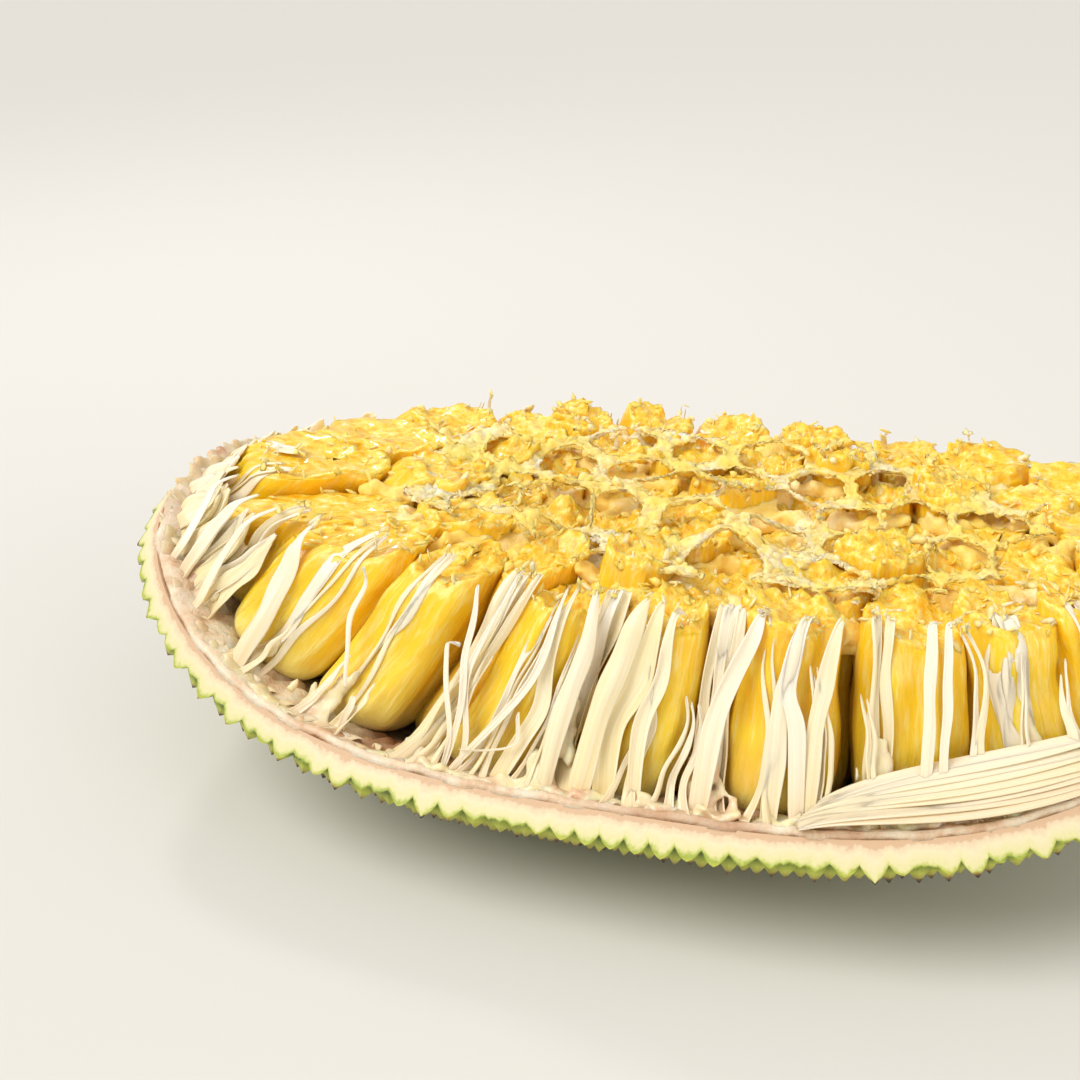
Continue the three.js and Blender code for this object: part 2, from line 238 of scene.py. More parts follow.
def top_height(u, v):
    share = place(u, v, *BULB_ROOM)[0]
    return TOP_MIDDLE + (TOP_EDGE - TOP_MIDDLE) * np.minimum(1, share) ** 2


def standing(u, v, share, lift=0.0):
    """The point over u, v at a share of the way from the lining to the tops."""
    return risen(u, v, (top_height(u, v) - bed_height(u, v)) * share + lift)


def spot_under(points):
    """The other way round: u, v and the height for each point, by halving the gap."""
    x, y, z = points.T
    low, high = np.full(len(x), -12.0), np.full(len(x), 120.0)
    u, v = x.copy(), y.copy()
    for _ in range(34):
        height = (low + high) / 2
        for _ in range(5):
            at = risen(u, v, height)
            pull = pull_at(height)
            u = u + (x - at[:, 0]) / (1 - pull)
            v = v + (y - at[:, 1]) / (1 - pull)
        too_high = risen(u, v, height)[:, 2] > z
        high = np.where(too_high, height, high)
        low = np.where(too_high, low, height)
    return u, v, height


print("the bulbs' tops stand", TOP_MIDDLE, "to", TOP_EDGE, "mm high")

# %% [markdown]
# ## Helpers for finishes
# Colours are picked as sRGB hex values, as a picture shows them, and turned to the linear light
# that the renderer counts in. Nodes could be wired by hand in the shader editor. In a script one
# small function that adds a node, sets it and links it keeps each material short enough to read.


# %% Colours and nodes
def linear(hex_colour):
    parts = [int(hex_colour[i : i + 2], 16) / 255 for i in (1, 3, 5)]
    return [c / 12.92 if c <= 0.04045 else ((c + 0.055) / 1.055) ** 2.4 for c in parts] + [1.0]


def once_in(size):
    """The scale of a pattern on object coordinates whose spots are this many millimetres wide."""
    return 1 / (size * MM)


def add_node(material, kind, inputs=(), stops=(), **settings):
    """A node with its settings. An input takes a value, or another node's output."""
    tree = material.node_tree
    made = tree.nodes.new("ShaderNode" + kind)
    for name, value in settings.items():
        setattr(made, name, value)
    for socket, value in dict(inputs).items():
        if isinstance(value, bpy.types.NodeSocket):
            tree.links.new(value, made.inputs[socket])
        else:
            made.inputs[socket].default_value = value
    for i, (position, colour) in enumerate(stops):
        elements = made.color_ramp.elements
        stop = elements[i] if i < 2 else elements.new(position)
        stop.position = position
        stop.color = linear(colour)
    return made


def new_material(name, **shader_values):
    """A material and its shader, with the values that are the same all over."""
    material = bpy.data.materials.new(name)
    material.use_nodes = True
    shader = material.node_tree.nodes["Principled BSDF"]
    for socket, value in shader_values.items():
        shader.inputs[socket.replace("_", " ")].default_value = value
    return material, shader


def connect(material, output, socket):
    material.node_tree.links.new(output, socket)


def finish_piece(piece, material, slot, *nodes):
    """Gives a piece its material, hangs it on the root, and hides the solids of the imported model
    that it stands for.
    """
    piece.data.materials.clear()
    piece.data.materials.append(material)
    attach(piece, "root")
    if nodes:
        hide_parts(*nodes)
    print(piece.name, len(piece.data.polygons), "faces")


# %% [markdown]
# ## Camera
# The camera stands where the picture was taken from: in front of the fruit and a little to its
# right, looking down on it at an angle of 26 degrees. It could be placed by eye. Here its turn,
# its tilt, its distance and its lens come from a fit of the dish's rim to the rim in the picture.

# %% Camera
camera_data = bpy.data.cameras.new("camera")
camera_data.sensor_width = 36
camera_data.lens = 52.83
camera_data.clip_start = 0.01
camera = add_object("camera", camera_data)
LOOKED_AT = Vector((-0.0604, 0.0489, 0.0463))
DISTANCE = 0.6006
azimuth, elevation = math.radians(13.73), math.radians(26.14)
backward = Vector(
    (
        math.sin(azimuth) * math.cos(elevation),
        -math.cos(azimuth) * math.cos(elevation),
        math.sin(elevation),
    )
)
camera.location = LOOKED_AT + DISTANCE * backward
camera.rotation_euler = backward.to_track_quat("Z", "Y").to_euler()
bpy.context.scene.camera = camera
print("camera at", [round(1000 * c) for c in camera.location], "mm")

# %% [markdown]
# ## Light and floor
# The light is soft and comes from the upper left, as from a window. A wide fill from the right
# keeps the shaded sides of the bulbs amber and not black, and a small light from behind puts the
# wet glints on the torn tops. One bright lamp would be simpler, but its hard shadows would hide
# the gaps between the bulbs. The floor is plain pale paper, so that nothing draws the eye away.


# %% Light and floor
def soft_light(name, kind, where, aim, power, colour, **shape):
    data = bpy.data.lights.new(name, kind)
    data.energy = power
    data.color = linear(colour)[:3]
    for setting, value in shape.items():
        setattr(data, setting, value)
    light = add_object(name, data)
    light.location = where
    light.rotation_euler = (Vector(where) - Vector(aim)).to_track_quat("Z", "Y").to_euler()
    print(name, "light from", where)


soft_light("window", "SUN", (-1.0, -0.7, 1.5), (0, 0, 0), 2.3, "#fffdfa", angle=0.75)
soft_light("fill", "AREA", (1.1, -0.9, 0.6), (0, 0, 0.05), 5, "#fffaf3", shape="DISK", size=1.0)
soft_light(
    "glint", "AREA", (-0.5, 0.55, 0.75), (0, 0, 0.07), 1.5, "#ffffff", shape="DISK", size=0.12
)
world = bpy.data.worlds.new("studio")
world.use_nodes = True
sky = world.node_tree.nodes["Background"]
sky.inputs["Color"].default_value = linear("#f6f5f3")
sky.inputs["Strength"].default_value = 0.63
bpy.context.scene.world = world
bpy.context.scene.view_settings.view_transform = "Standard"

bpy.ops.object.select_all(action="DESELECT")
bpy.ops.mesh.primitive_plane_add(size=8, location=(0, 0, -0.2 * MM))
floor = bpy.context.object
floor.name = "floor"
# Matte paper has no highlight of its own and shows the soft shadow under the fruit.
floor_material, _ = new_material(
    "matte_paper", Base_Color=linear("#d8d5cf"), Roughness=0.85, Specular_IOR_Level=0.2
)
floor.data.materials.append(floor_material)

# %% [markdown]
# ## Rind
# A jackfruit's skin is a lattice of small six-sided spikes. A texture would be quick, but it would
# blur at the rim, where the knife went through the spikes and left a row of teeth. So every spike
# is real: a flat grid is fine enough to have a point on each tip, and its points are moved onto the
# dish and out along the dish's own direction. The grid is first extruded to a block, because the
# next step cuts it, and only a closed block can be cut.

# %% Spikes
SPIKE_SPACING = 7.6
SPIKE_HEIGHT = 4.9
ROW_SPACING = SPIKE_SPACING * math.sqrt(3) / 2
STEPS_PER_SPIKE = 6  # grid steps from one tip to the next, both ways


def spike_profile(x, y):
    """How far out the skin stands at each place of the lattice: 0 in a valley, 1 on a tip."""
    row = np.round(y / ROW_SPACING)
    best = np.full(len(x), np.inf)
    tallness = np.ones(len(x))
    for near in (-1, 0, 1):
        r = row + near
        shift = np.mod(r, 2) / 2
        column = np.round(x / SPIKE_SPACING - shift)
        dx = x - (column + shift) * SPIKE_SPACING
        dy = y - r * ROW_SPACING
        # A spike has six flat sides, rounded a little: most of a hexagon and some of a circle.
        facings = (0, math.pi / 3, -math.pi / 3)
        sides = [np.abs(dx * math.cos(t) + dy * math.sin(t)) for t in facings]
        hexagon = np.max(sides, axis=0)
        away = (0.8 * hexagon + 0.2 * np.hypot(dx, dy)) / (SPIKE_SPACING / 2)
        nearer = away < best
        best = np.where(nearer, away, best)
        # A number that looks random but is always the same for the same spike.
        variety = np.sin(12.9898 * column + 78.233 * r) * 43758.5453
        tallness = np.where(nearer, 0.84 + 0.26 * (variety - np.floor(variety)), tallness)
    return np.clip(1 - best, 0, 1) ** 0.85 * tallness


COLUMNS, ROWS = 312, 234
rind, _, _ = grid_sheet("rind_peel", COLUMNS, ROWS)
edit(rind, (bpy.ops.mesh.extrude_region_move, {"TRANSFORM_OT_translate": {"value": (0, 0, 1)}}))
lattice = points_of(rind) * MM
is_lid = lattice[:, 2] > 0.5
lattice_x = lattice[:, 0] / 2 * COLUMNS * SPIKE_SPACING / STEPS_PER_SPIKE
lattice_y = lattice[:, 1] / 2 * ROWS * ROW_SPACING / STEPS_PER_SPIKE
# A slow drift of the lattice keeps its rows from looking ruled.
x = lattice_x + 1.9 * np.sin(lattice_y / 33) + 1.2 * np.sin(lattice_x / 21 + lattice_y / 40)
y = lattice_y + 1.9 * np.sin(lattice_x / 37 + 1) + 1.2 * np.sin(lattice_y / 19 - lattice_x / 50)
outer = under_skin(x, y, -SPIKE_HEIGHT * spike_profile(lattice_x, lattice_y))
LID_HEIGHT = 150.0  # the block's top, well over the rim
lid = np.stack([x, y, np.full(len(x), LID_HEIGHT)], axis=-1)
move_points(rind, np.where(is_lid[:, None], lid, outer))
edit(rind, (bpy.ops.mesh.normals_make_consistent, {"inside": False}))
print("spikes:", round(COLUMNS * ROWS / STEPS_PER_SPIKE**2), "in the block")

# %% [markdown]
# ## Cutting the rind
# The rim is where a knife halved the fruit, and it stands square to the rind. Cutting a mesh along
# a curve by hand leaves ragged faces. Two closed solids do it cleanly: the knife's solid follows
# the outline and slopes inwards across the rind, and what it shares with the block is kept. The
# hollow's solid is then taken away, and the rind is left at an even thickness.


# %% Rings of points
def ring_solid(name, sides, rings):
    """A closed solid from rings of points, made from a circle that is extruded ring by ring."""
    bpy.ops.object.select_all(action="DESELECT")
    bpy.ops.mesh.primitive_circle_add(vertices=sides, radius=1)
    solid = bpy.context.object
    solid.name = name
    bpy.ops.object.mode_set(mode="EDIT")
    bpy.ops.mesh.select_all(action="SELECT")
    bpy.ops.mesh.edge_face_add()
    for _ in rings[1:]:
        bpy.ops.mesh.extrude_region_move(TRANSFORM_OT_translate={"value": (0, 0, 1)})
    bpy.ops.object.mode_set(mode="OBJECT")
    raw = points_of(solid) * MM
    level = np.round(raw[:, 2]).astype(int)
    turn = np.mod(np.round(np.arctan2(raw[:, 1], raw[:, 0]) / (2 * np.pi) * sides), sides).astype(int)
    move_points(solid, np.array(rings)[level, turn])
    edit(
        solid,
        (bpy.ops.mesh.quads_convert_to_tris, {}),
        (bpy.ops.mesh.normals_make_consistent, {"inside": False}),
    )
    return solid


# %% [markdown]
# The knife's solid has four rings: its foot, a ring outside the skin, a ring far inside the dish
# and a crown. The hollow's solid has a ring for each step outwards, closer together where the dish
# curves more. The cuts could also be made by the slower exact solver, but both solids are clean
# and closed, so the fast one does.

# %% Knife cut and hollow
CUT_SIDES, HOLLOW_SIDES = 288, 144
OUTSIDE, INSIDE = -9.0, 42.0  # the cut runs this far past the skin on either side
turns = np.arange(CUT_SIDES) / CUT_SIDES
rim_x, rim_y = on_outline(turns, 1.0)
cut_outer = under_skin(rim_x, rim_y, np.full(CUT_SIDES, OUTSIDE))
cut_foot = cut_outer * [1, 1, 0]
cut_inner = under_skin(rim_x, rim_y, np.full(CUT_SIDES, INSIDE))
cut_crown = cut_inner * [0.5, 0.5, 0] + [0, 0, LID_HEIGHT - 1]
knife = ring_solid("knife_cut", CUT_SIDES, [cut_foot, cut_outer, cut_inner, cut_crown])

hollow_rings = []
for share in [0.06, 0.2, 0.32, 0.42, 0.52, 0.6, 0.68, 0.75, 0.82, 0.88, 0.94, 1.0, 1.06, 1.12]:
    hx, hy = on_outline(np.arange(HOLLOW_SIDES) / HOLLOW_SIDES, share)
    hollow_rings.append(np.stack([hx, hy, skin_height(hx, hy) + RIND / inward(hx, hy)[:, 2]], -1))
hollow_rings.append(hollow_rings[-1] * [1, 1, 0] + [0, 0, LID_HEIGHT + 20])
hollow = ring_solid("hollow", HOLLOW_SIDES, hollow_rings)

apply_modifier(rind, "BOOLEAN", operation="INTERSECT", object=knife, solver="MANIFOLD")
apply_modifier(rind, "BOOLEAN", operation="DIFFERENCE", object=hollow, solver="MANIFOLD")
for tool in (knife, hollow):
    bpy.data.objects.remove(tool)
print("rind after the cut:", len(rind.data.vertices), "points")

# %% [markdown]
# ## Rind colours
# The colours of the rind follow its thickness: a yellow-green skin that is thinner than a
# fingernail, then pale green, then cream, and pinkish next to the lining. They could be painted,
# but two numbers on each point already tell the material where it is: how far in it lies, and how
# high up a spike.

# %% Rind material
rind_points = points_of(rind)
depth = (rind_points[:, 2] - skin_height(rind_points[:, 0], rind_points[:, 1])) * inward(
    rind_points[:, 0], rind_points[:, 1]
)[:, 2]
keep_on_points(rind, "peel_depth", np.where(depth > 0.8 * RIND, 1.0, 0.0))
keep_on_points(rind, "spike", np.clip(-depth / SPIKE_HEIGHT, 0, 1))

# Wax gives the spikes a soft sheen and no sharp glint, and the cut face stays matt.
rind_skin, shader = new_material(
    "waxy_jackfruit_rind", Roughness=0.5, IOR=1.45, Coat_Weight=0.12, Coat_Roughness=0.35
)
coordinates = add_node(rind_skin, "TexCoord").outputs["Object"]
peel = add_node(rind_skin, "Attribute", attribute_name="peel_depth").outputs["Fac"]
spike = add_node(rind_skin, "Attribute", attribute_name="spike").outputs["Fac"]
patches = add_node(
    rind_skin,
    "TexNoise",
    {"Vector": coordinates, "Scale": once_in(26.3), "Detail": 4, "Roughness": 0.6},
).outputs["Fac"]
grit = add_node(
    rind_skin, "TexNoise", {"Vector": coordinates, "Scale": once_in(1.43), "Detail": 3}
).outputs["Fac"]
# Tips are brown where they were rubbed, more so in patches.
patchy = add_node(
    rind_skin, "Math", {0: patches, 1: 0.9, 2: -0.45}, operation="MULTIPLY_ADD"
).outputs[0]
worn = add_node(rind_skin, "Math", {0: spike, 1: patchy}, operation="ADD").outputs[0]
spike_colour = add_node(
    rind_skin,
    "ValToRGB",
    {"Fac": worn},
    stops=[
        (0.0, "#5f6b1f"),
        (0.98, "#20160c"),
        (0.2, "#8c9a30"),
        (0.5, "#b4ba45"),
        (0.74, "#a9a244"),
        (0.86, "#6d4d24"),
    ],
).outputs["Color"]

# %% [markdown]
# The cut face runs from green through cream to a dull pink. Colours that follow the depth alone
# would lie in even bands, as if printed. So the grit and the patches shift the depth a little
# before the colour is looked up.

# %% Rind, cut face
gritty = add_node(
    rind_skin, "Math", {0: grit, 1: 0.28, 2: peel}, operation="MULTIPLY_ADD"
).outputs[0]
in_patches = add_node(
    rind_skin, "Math", {0: patches, 1: 0.5, 2: -0.22}, operation="MULTIPLY_ADD"
).outputs[0]
mottled = add_node(rind_skin, "Math", {0: gritty, 1: in_patches}, operation="ADD").outputs[0]
flesh_colour = add_node(
    rind_skin,
    "ValToRGB",
    {"Fac": mottled},
    stops=[
        (0.19, "#9fae45"),
        (1.0, "#d3b08c"),
        (0.26, "#c3c56f"),
        (0.36, "#dcd59a"),
        (0.72, "#e6d9b2"),
        (0.93, "#e0c9a6"),
    ],
).outputs["Color"]
is_cut = add_node(
    rind_skin, "MapRange", {"Value": peel, "From Min": 0.02, "From Max": 0.06}
).outputs[0]
rind_mix = add_node(
    rind_skin, "Mix", {0: is_cut, 6: spike_colour, 7: flesh_colour}, data_type="RGBA"
).outputs[2]
connect(rind_skin, rind_mix, shader.inputs["Base Color"])
rind_bump = add_node(rind_skin, "Bump", {"Height": grit, "Strength": 0.35, "Distance": 0.0006})
connect(rind_skin, rind_bump.outputs[0], shader.inputs["Normal"])
select_only(rind)
bpy.ops.object.shade_smooth_by_angle(angle=math.radians(38))
finish_piece(rind, rind_skin, "rind", "rind")

# %% [markdown]
# ## Lining
# Inside the rind lies a thin fibrous layer from which bulbs and rags grow. It could be cut out of
# the rind's block, but then its surface would be as coarse as the block's. A grid that is bent
# round into rings and laid on the dish's formula is fine everywhere, and its edge ends exactly on
# the knife's cut. Small lumps and swollen roots are raised in it, and it is thickened downwards
# to rest on the rind.

# %% Lining
LINING_SHEET = 2.7  # thickness, enough to reach the rind everywhere
lining, turn, out = grid_sheet("rind_lining", 460, 56)
out = out**0.72 * 1.0012
lining_x, lining_y = on_outline(turn, np.maximum(out, 0.002))
flat = np.stack([lining_x, lining_y, 0 * lining_x], axis=-1)
ground_share = place(lining_x, lining_y, *BULB_ROOM)[0]
rooty = smooth_step(0.86, 0.93, ground_share) * (1 - smooth_step(1.0, 1.1, ground_share))
calm_rim = 1 - smooth_step(0.985, 1.0, out)
lump = 1.4 * lumps(flat, 13, 3, 1) + 1.1 * lumps(flat, 4.5, 2, 2)
# The roots swell in folds that run outwards. The turn is laid on a circle, so that they meet.
round_rim = np.stack([np.cos(2 * np.pi * turn) * 34, np.sin(2 * np.pi * turn) * 34, out * 5], -1)
roots = np.abs(lumps(round_rim, 1.15, 3, 3))
lift = calm_rim * (0.4 + lump + rooty * (5.5 * (0.5 - roots) + 1.2 + 1.6 * lumps(flat, 7, 2, 8)))
move_points(lining, under_skin(lining_x, lining_y, BED_DEPTH - 0.4 + np.maximum(lift, -0.8)))
keep_on_points(lining, "rimward", out)
edit(
    lining,
    (bpy.ops.mesh.remove_doubles, {"threshold": 2e-5}),
    (bpy.ops.mesh.normals_make_consistent, {"inside": False}),
)
if lining.data.polygons[len(lining.data.polygons) // 3].normal.z < 0:
    edit(lining, (bpy.ops.mesh.flip_normals, {}))
apply_modifier(lining, "SOLIDIFY", thickness=LINING_SHEET * MM, offset=-1)
print("lining:", len(lining.data.vertices), "points")

# %% [markdown]
# ## Lining colours
# Seen close, the lining is cream to tan felt with brown bruises, and it is wet. The colours could
# be one flat tan, but then the rim would look like leather. Three patterns of different sizes are
# laid over each other: fibres, blotches and bruises.

# %% Lining material
# Moist fibres shine only weakly, and some light soaks in and comes out warmer.
lining_skin, shader = new_material(
    "fibrous_rind_lining", Roughness=0.5, IOR=1.42, Subsurface_Weight=0.35, Coat_Weight=0.2
)
shader.inputs["Subsurface Radius"].default_value = (0.006, 0.003, 0.0015)
shader.inputs["Subsurface Scale"].default_value = 0.6
coordinates = add_node(lining_skin, "TexCoord").outputs["Object"]
rimward = add_node(lining_skin, "Attribute", attribute_name="rimward").outputs["Fac"]
blotch = add_node(
    lining_skin,
    "TexNoise",
    {"Vector": coordinates, "Scale": once_in(13.3), "Detail": 5, "Roughness": 0.65},
).outputs["Fac"]
bruise = add_node(
    lining_skin, "TexNoise", {"Vector": coordinates, "Scale": once_in(47.6), "Detail": 3}
).outputs["Fac"]
# Real fibres are about half a millimetre apart. They are drawn coarser, so that they show.
fibre = add_node(
    lining_skin,
    "TexNoise",
    {"Vector": coordinates, "Scale": once_in(2.38), "Detail": 4, "Distortion": 1.2},
).outputs["Fac"]
lining_colour = add_node(
    lining_skin,
    "ValToRGB",
    {"Fac": blotch},
    stops=[(0.32, "#bb8c66"), (0.68, "#f3ead6"), (0.42, "#d8b491"), (0.52, "#e9d5b8")],
).outputs["Color"]
bruised = add_node(
    lining_skin, "MapRange", {"Value": bruise, "From Min": 0.5, "From Max": 0.68, "To Max": 0.8}
).outputs[0]
lining_mix = add_node(
    lining_skin, "Mix", {0: bruised, 6: lining_colour, 7: linear("#a0673f")}, data_type="RGBA"
).outputs[2]
at_rim = add_node(
    lining_skin, "MapRange", {"Value": rimward, "From Min": 0.975, "From Max": 0.999, "To Max": 0.3}
).outputs[0]
rim_mix = add_node(
    lining_skin, "Mix", {0: at_rim, 6: lining_mix, 7: linear("#e3c7a6")}, data_type="RGBA"
).outputs[2]
connect(lining_skin, rim_mix, shader.inputs["Base Color"])
lining_bump = add_node(lining_skin, "Bump", {"Height": fibre, "Strength": 0.6, "Distance": 0.001})
connect(lining_skin, lining_bump.outputs[0], shader.inputs["Normal"])
shade_smooth(lining)
finish_piece(lining, lining_skin, "rag", "rag_bed")

# %% [markdown]
# ## Flesh of the bulbs
# The flesh is full of juice: light goes deep into it and comes out golden, under a wet bright film.
# Plain yellow would look like wax. So its colour follows the height, from cream at the root to
# gold, with pale streaks along the fibres and amber clouds, and the torn end has crumbs of its own.
# The grain kept on each point is a place on the upright bulb in millimetres, so a scale of 0.055
# makes clouds 18 mm across, 0.55 makes streaks 2 mm apart, and 0.34 makes crumbs of 3 mm.

# %% Flesh patterns
bulb_flesh, shader = new_material(
    "ripe_jackfruit_flesh",
    Roughness=0.3,
    IOR=1.4,
    Subsurface_Weight=0.45,
    Coat_Weight=0.55,
    Coat_Roughness=0.09,
)
shader.inputs["Subsurface Radius"].default_value = (0.009, 0.005, 0.0012)
shader.inputs["Subsurface Scale"].default_value = 0.7
grain = add_node(bulb_flesh, "Attribute", attribute_name="grain").outputs["Vector"]
rise = add_node(bulb_flesh, "Attribute", attribute_name="rise").outputs["Fac"]
tone = add_node(bulb_flesh, "Attribute", attribute_name="tone").outputs["Fac"]
torn = add_node(bulb_flesh, "Attribute", attribute_name="torn").outputs["Fac"]
along_grain = add_node(
    bulb_flesh, "Mapping", {"Vector": grain, "Scale": (1, 1, 0.09)}
).outputs["Vector"]
streaks = add_node(
    bulb_flesh, "TexNoise", {"Vector": along_grain, "Scale": 0.55, "Detail": 4, "Roughness": 0.6}
).outputs["Fac"]
clouds = add_node(
    bulb_flesh, "TexNoise", {"Vector": grain, "Scale": 0.055, "Detail": 3}
).outputs["Fac"]
crumb = add_node(
    bulb_flesh, "TexNoise", {"Vector": grain, "Scale": 0.34, "Detail": 4, "Roughness": 0.6}
).outputs["Fac"]

# %% [markdown]
# The sides of a bulb are gold, with the root end cream. The streaks and the clouds could be mixed
# in one step, but in two steps each keeps its own colour: pale along the fibres, amber in patches.

# %% Flesh colours
by_height = add_node(
    bulb_flesh,
    "ValToRGB",
    {"Fac": rise},
    stops=[
        (0.0, "#ece2a8"),
        (1.0, "#fccb22"),
        (0.1, "#f0dc78"),
        (0.27, "#f4cf3e"),
        (0.6, "#fbce1f"),
    ],
).outputs["Color"]
streak_share = add_node(
    bulb_flesh, "MapRange", {"Value": streaks, "From Min": 0.48, "From Max": 0.7, "To Max": 0.7}
).outputs[0]
streaked = add_node(
    bulb_flesh, "Mix", {0: streak_share, 6: by_height, 7: linear("#fdea92")}, data_type="RGBA"
).outputs[2]
cloud_sum = add_node(bulb_flesh, "Math", {0: clouds, 1: tone}, operation="ADD").outputs[0]
amber_share = add_node(
    bulb_flesh, "MapRange", {"Value": cloud_sum, "From Min": 0.52, "From Max": 0.95, "To Max": 0.7}
).outputs[0]
ambered = add_node(
    bulb_flesh, "Mix", {0: amber_share, 6: streaked, 7: linear("#e8a50c")}, data_type="RGBA"
).outputs[2]

# %% [markdown]
# Where the knife tore the flesh it is crumbly and looks both darker and lighter than the skin. It
# could be a second material, but a border between two materials follows the faces in steps. So the
# torn colour is mixed in by the number kept on each point.

# %% Torn flesh
torn_colour = add_node(
    bulb_flesh,
    "ValToRGB",
    {"Fac": crumb},
    stops=[(0.32, "#f3a816"), (0.74, "#fef5d8"), (0.47, "#fdca2c"), (0.61, "#fddd6c")],
).outputs["Color"]
flesh_mix = add_node(
    bulb_flesh, "Mix", {0: torn, 6: ambered, 7: torn_colour}, data_type="RGBA"
).outputs[2]
connect(bulb_flesh, flesh_mix, shader.inputs["Base Color"])
torn_height = add_node(bulb_flesh, "Math", {0: crumb, 1: torn}, operation="MULTIPLY").outputs[0]
both_heights = add_node(
    bulb_flesh, "Math", {0: torn_height, 1: 0.8, 2: streaks}, operation="MULTIPLY_ADD"
).outputs[0]
flesh_bump = add_node(
    bulb_flesh, "Bump", {"Height": both_heights, "Strength": 0.55, "Distance": 0.0012}
)
connect(bulb_flesh, flesh_bump.outputs[0], shader.inputs["Normal"])

# %% [markdown]
# ## Shape of the bulbs
# The bulbs are smooth wet bags with long soft folds, torn open at the top where the core was
# sliced off. Sculpting fifty-four of them would take days. Each one starts as a copy of its plain
# solid, so it fits its place. The copy is stood upright by the lean formula turned round, and it
# is subdivided, folded and torn there, where up is simply up. Then it is leant again, so that the
# folds follow the lean.


# %% A bulb stood upright
FATTEN = 2.1  # subdivision draws a shape in, and the real bulbs press on each other
BULB_LENGTH = 85  # upright, every copy is stood at this length, with a level cut end
CREASES = 5
OUTER_FROM = 0.7  # a bulb past this share of the way out stands in the outer ring
random_bulb = np.random.default_rng(7)
bulb_nodes = sorted(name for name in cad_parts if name.startswith("bulb_"))


def upright_copy(node):
    """A copy of a bulb's plain solid, merged and stood upright, and the height of its top."""
    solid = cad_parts[node]
    flesh = add_object(node.replace("bulb", "bulb_flesh"), solid.data.copy())
    edit(
        flesh,
        (bpy.ops.mesh.remove_doubles, {"threshold": 1e-5}),
        (bpy.ops.mesh.tris_convert_to_quads, {"face_threshold": 0.9, "shape_threshold": 3.1}),
    )
    points = points_of(flesh)
    top = points[:, 2].max() + 0.8
    u, v, height = spot_under(points)
    share = height / (top - bed_height(u, v))
    move_points(flesh, np.stack([u, v, share * BULB_LENGTH], axis=-1))
    # The knife left a sharp edge round the cut end, so those edges are creased.
    at_cut = share > 0.96
    crease = flesh.data.attributes.new("crease_edge", "FLOAT", "EDGE")
    for edge in flesh.data.edges:
        crease.data[edge.index].value = 0.85 if at_cut[list(edge.vertices)].all() else 0.0
    return flesh, top


print(len(bulb_nodes), "bulbs to dress")

# %% [markdown]
# A bulb's skin has long soft folds, and narrow creases where it was pressed between its
# neighbours. Cloth simulation could fold it, but would move it off its place. Waves round the
# bulb make the folds, and narrow grooves make the creases. The torn end is noise of several sizes.


# %% Folds and torn ends
def folds_round(angle, share, phase):
    """How far the flesh stands out or in, in millimetres, for its folds and its creases."""
    folds = (
        0.85 * np.sin(3 * angle + phase[0] + 1.1 * share)
        + 0.75 * np.sin(5 * angle + phase[1] - 1.6 * share)
        + 0.45 * np.sin(9 * angle + phase[2] + 2.3 * share)
        + 0.25 * np.sin(16 * angle + phase[3] - 2 * share)
    )
    for _ in range(CREASES):
        # A crease is a narrow groove that wanders a little on its way up.
        start, wander, deep = random_bulb.uniform([-np.pi, -0.35, 1.0], [np.pi, 0.35, 3.4])
        aside = np.mod(angle - start - wander * np.sin(2.6 * share) + np.pi, 2 * np.pi) - np.pi
        folds = folds - deep * np.exp(-((aside / 0.13) ** 2)) * smooth_step(0.12, 0.5, share)
    return folds


def torn_relief(upright, offset, radius, ragged, crumbs, number):
    """How far the torn end stands up or down: peaks, crumbs, swells, a tilt and a dome."""
    tilt = offset @ random_bulb.uniform(-0.16, 0.16, 2)
    swells = 3.2 * lumps(upright * [1, 1, 0] + 11 * number, 17, 1)
    dome = random_bulb.uniform(-5.0, 3.5) * (1 - (radius / radius.max()) ** 2)
    return 4.0 * ragged + 0.7 * crumbs + 1.3 * swells + 1.3 * tilt + dome - 1.0


print("each bulb has", CREASES, "creases")

# %% [markdown]
# Now every bulb is made in turn: its sides are pushed out along their own direction, its cut end
# is raised and torn, and it is leant back into its place. One bulb could be made once and copied,
# but the eye would find the copies at once, so each has its own random numbers.

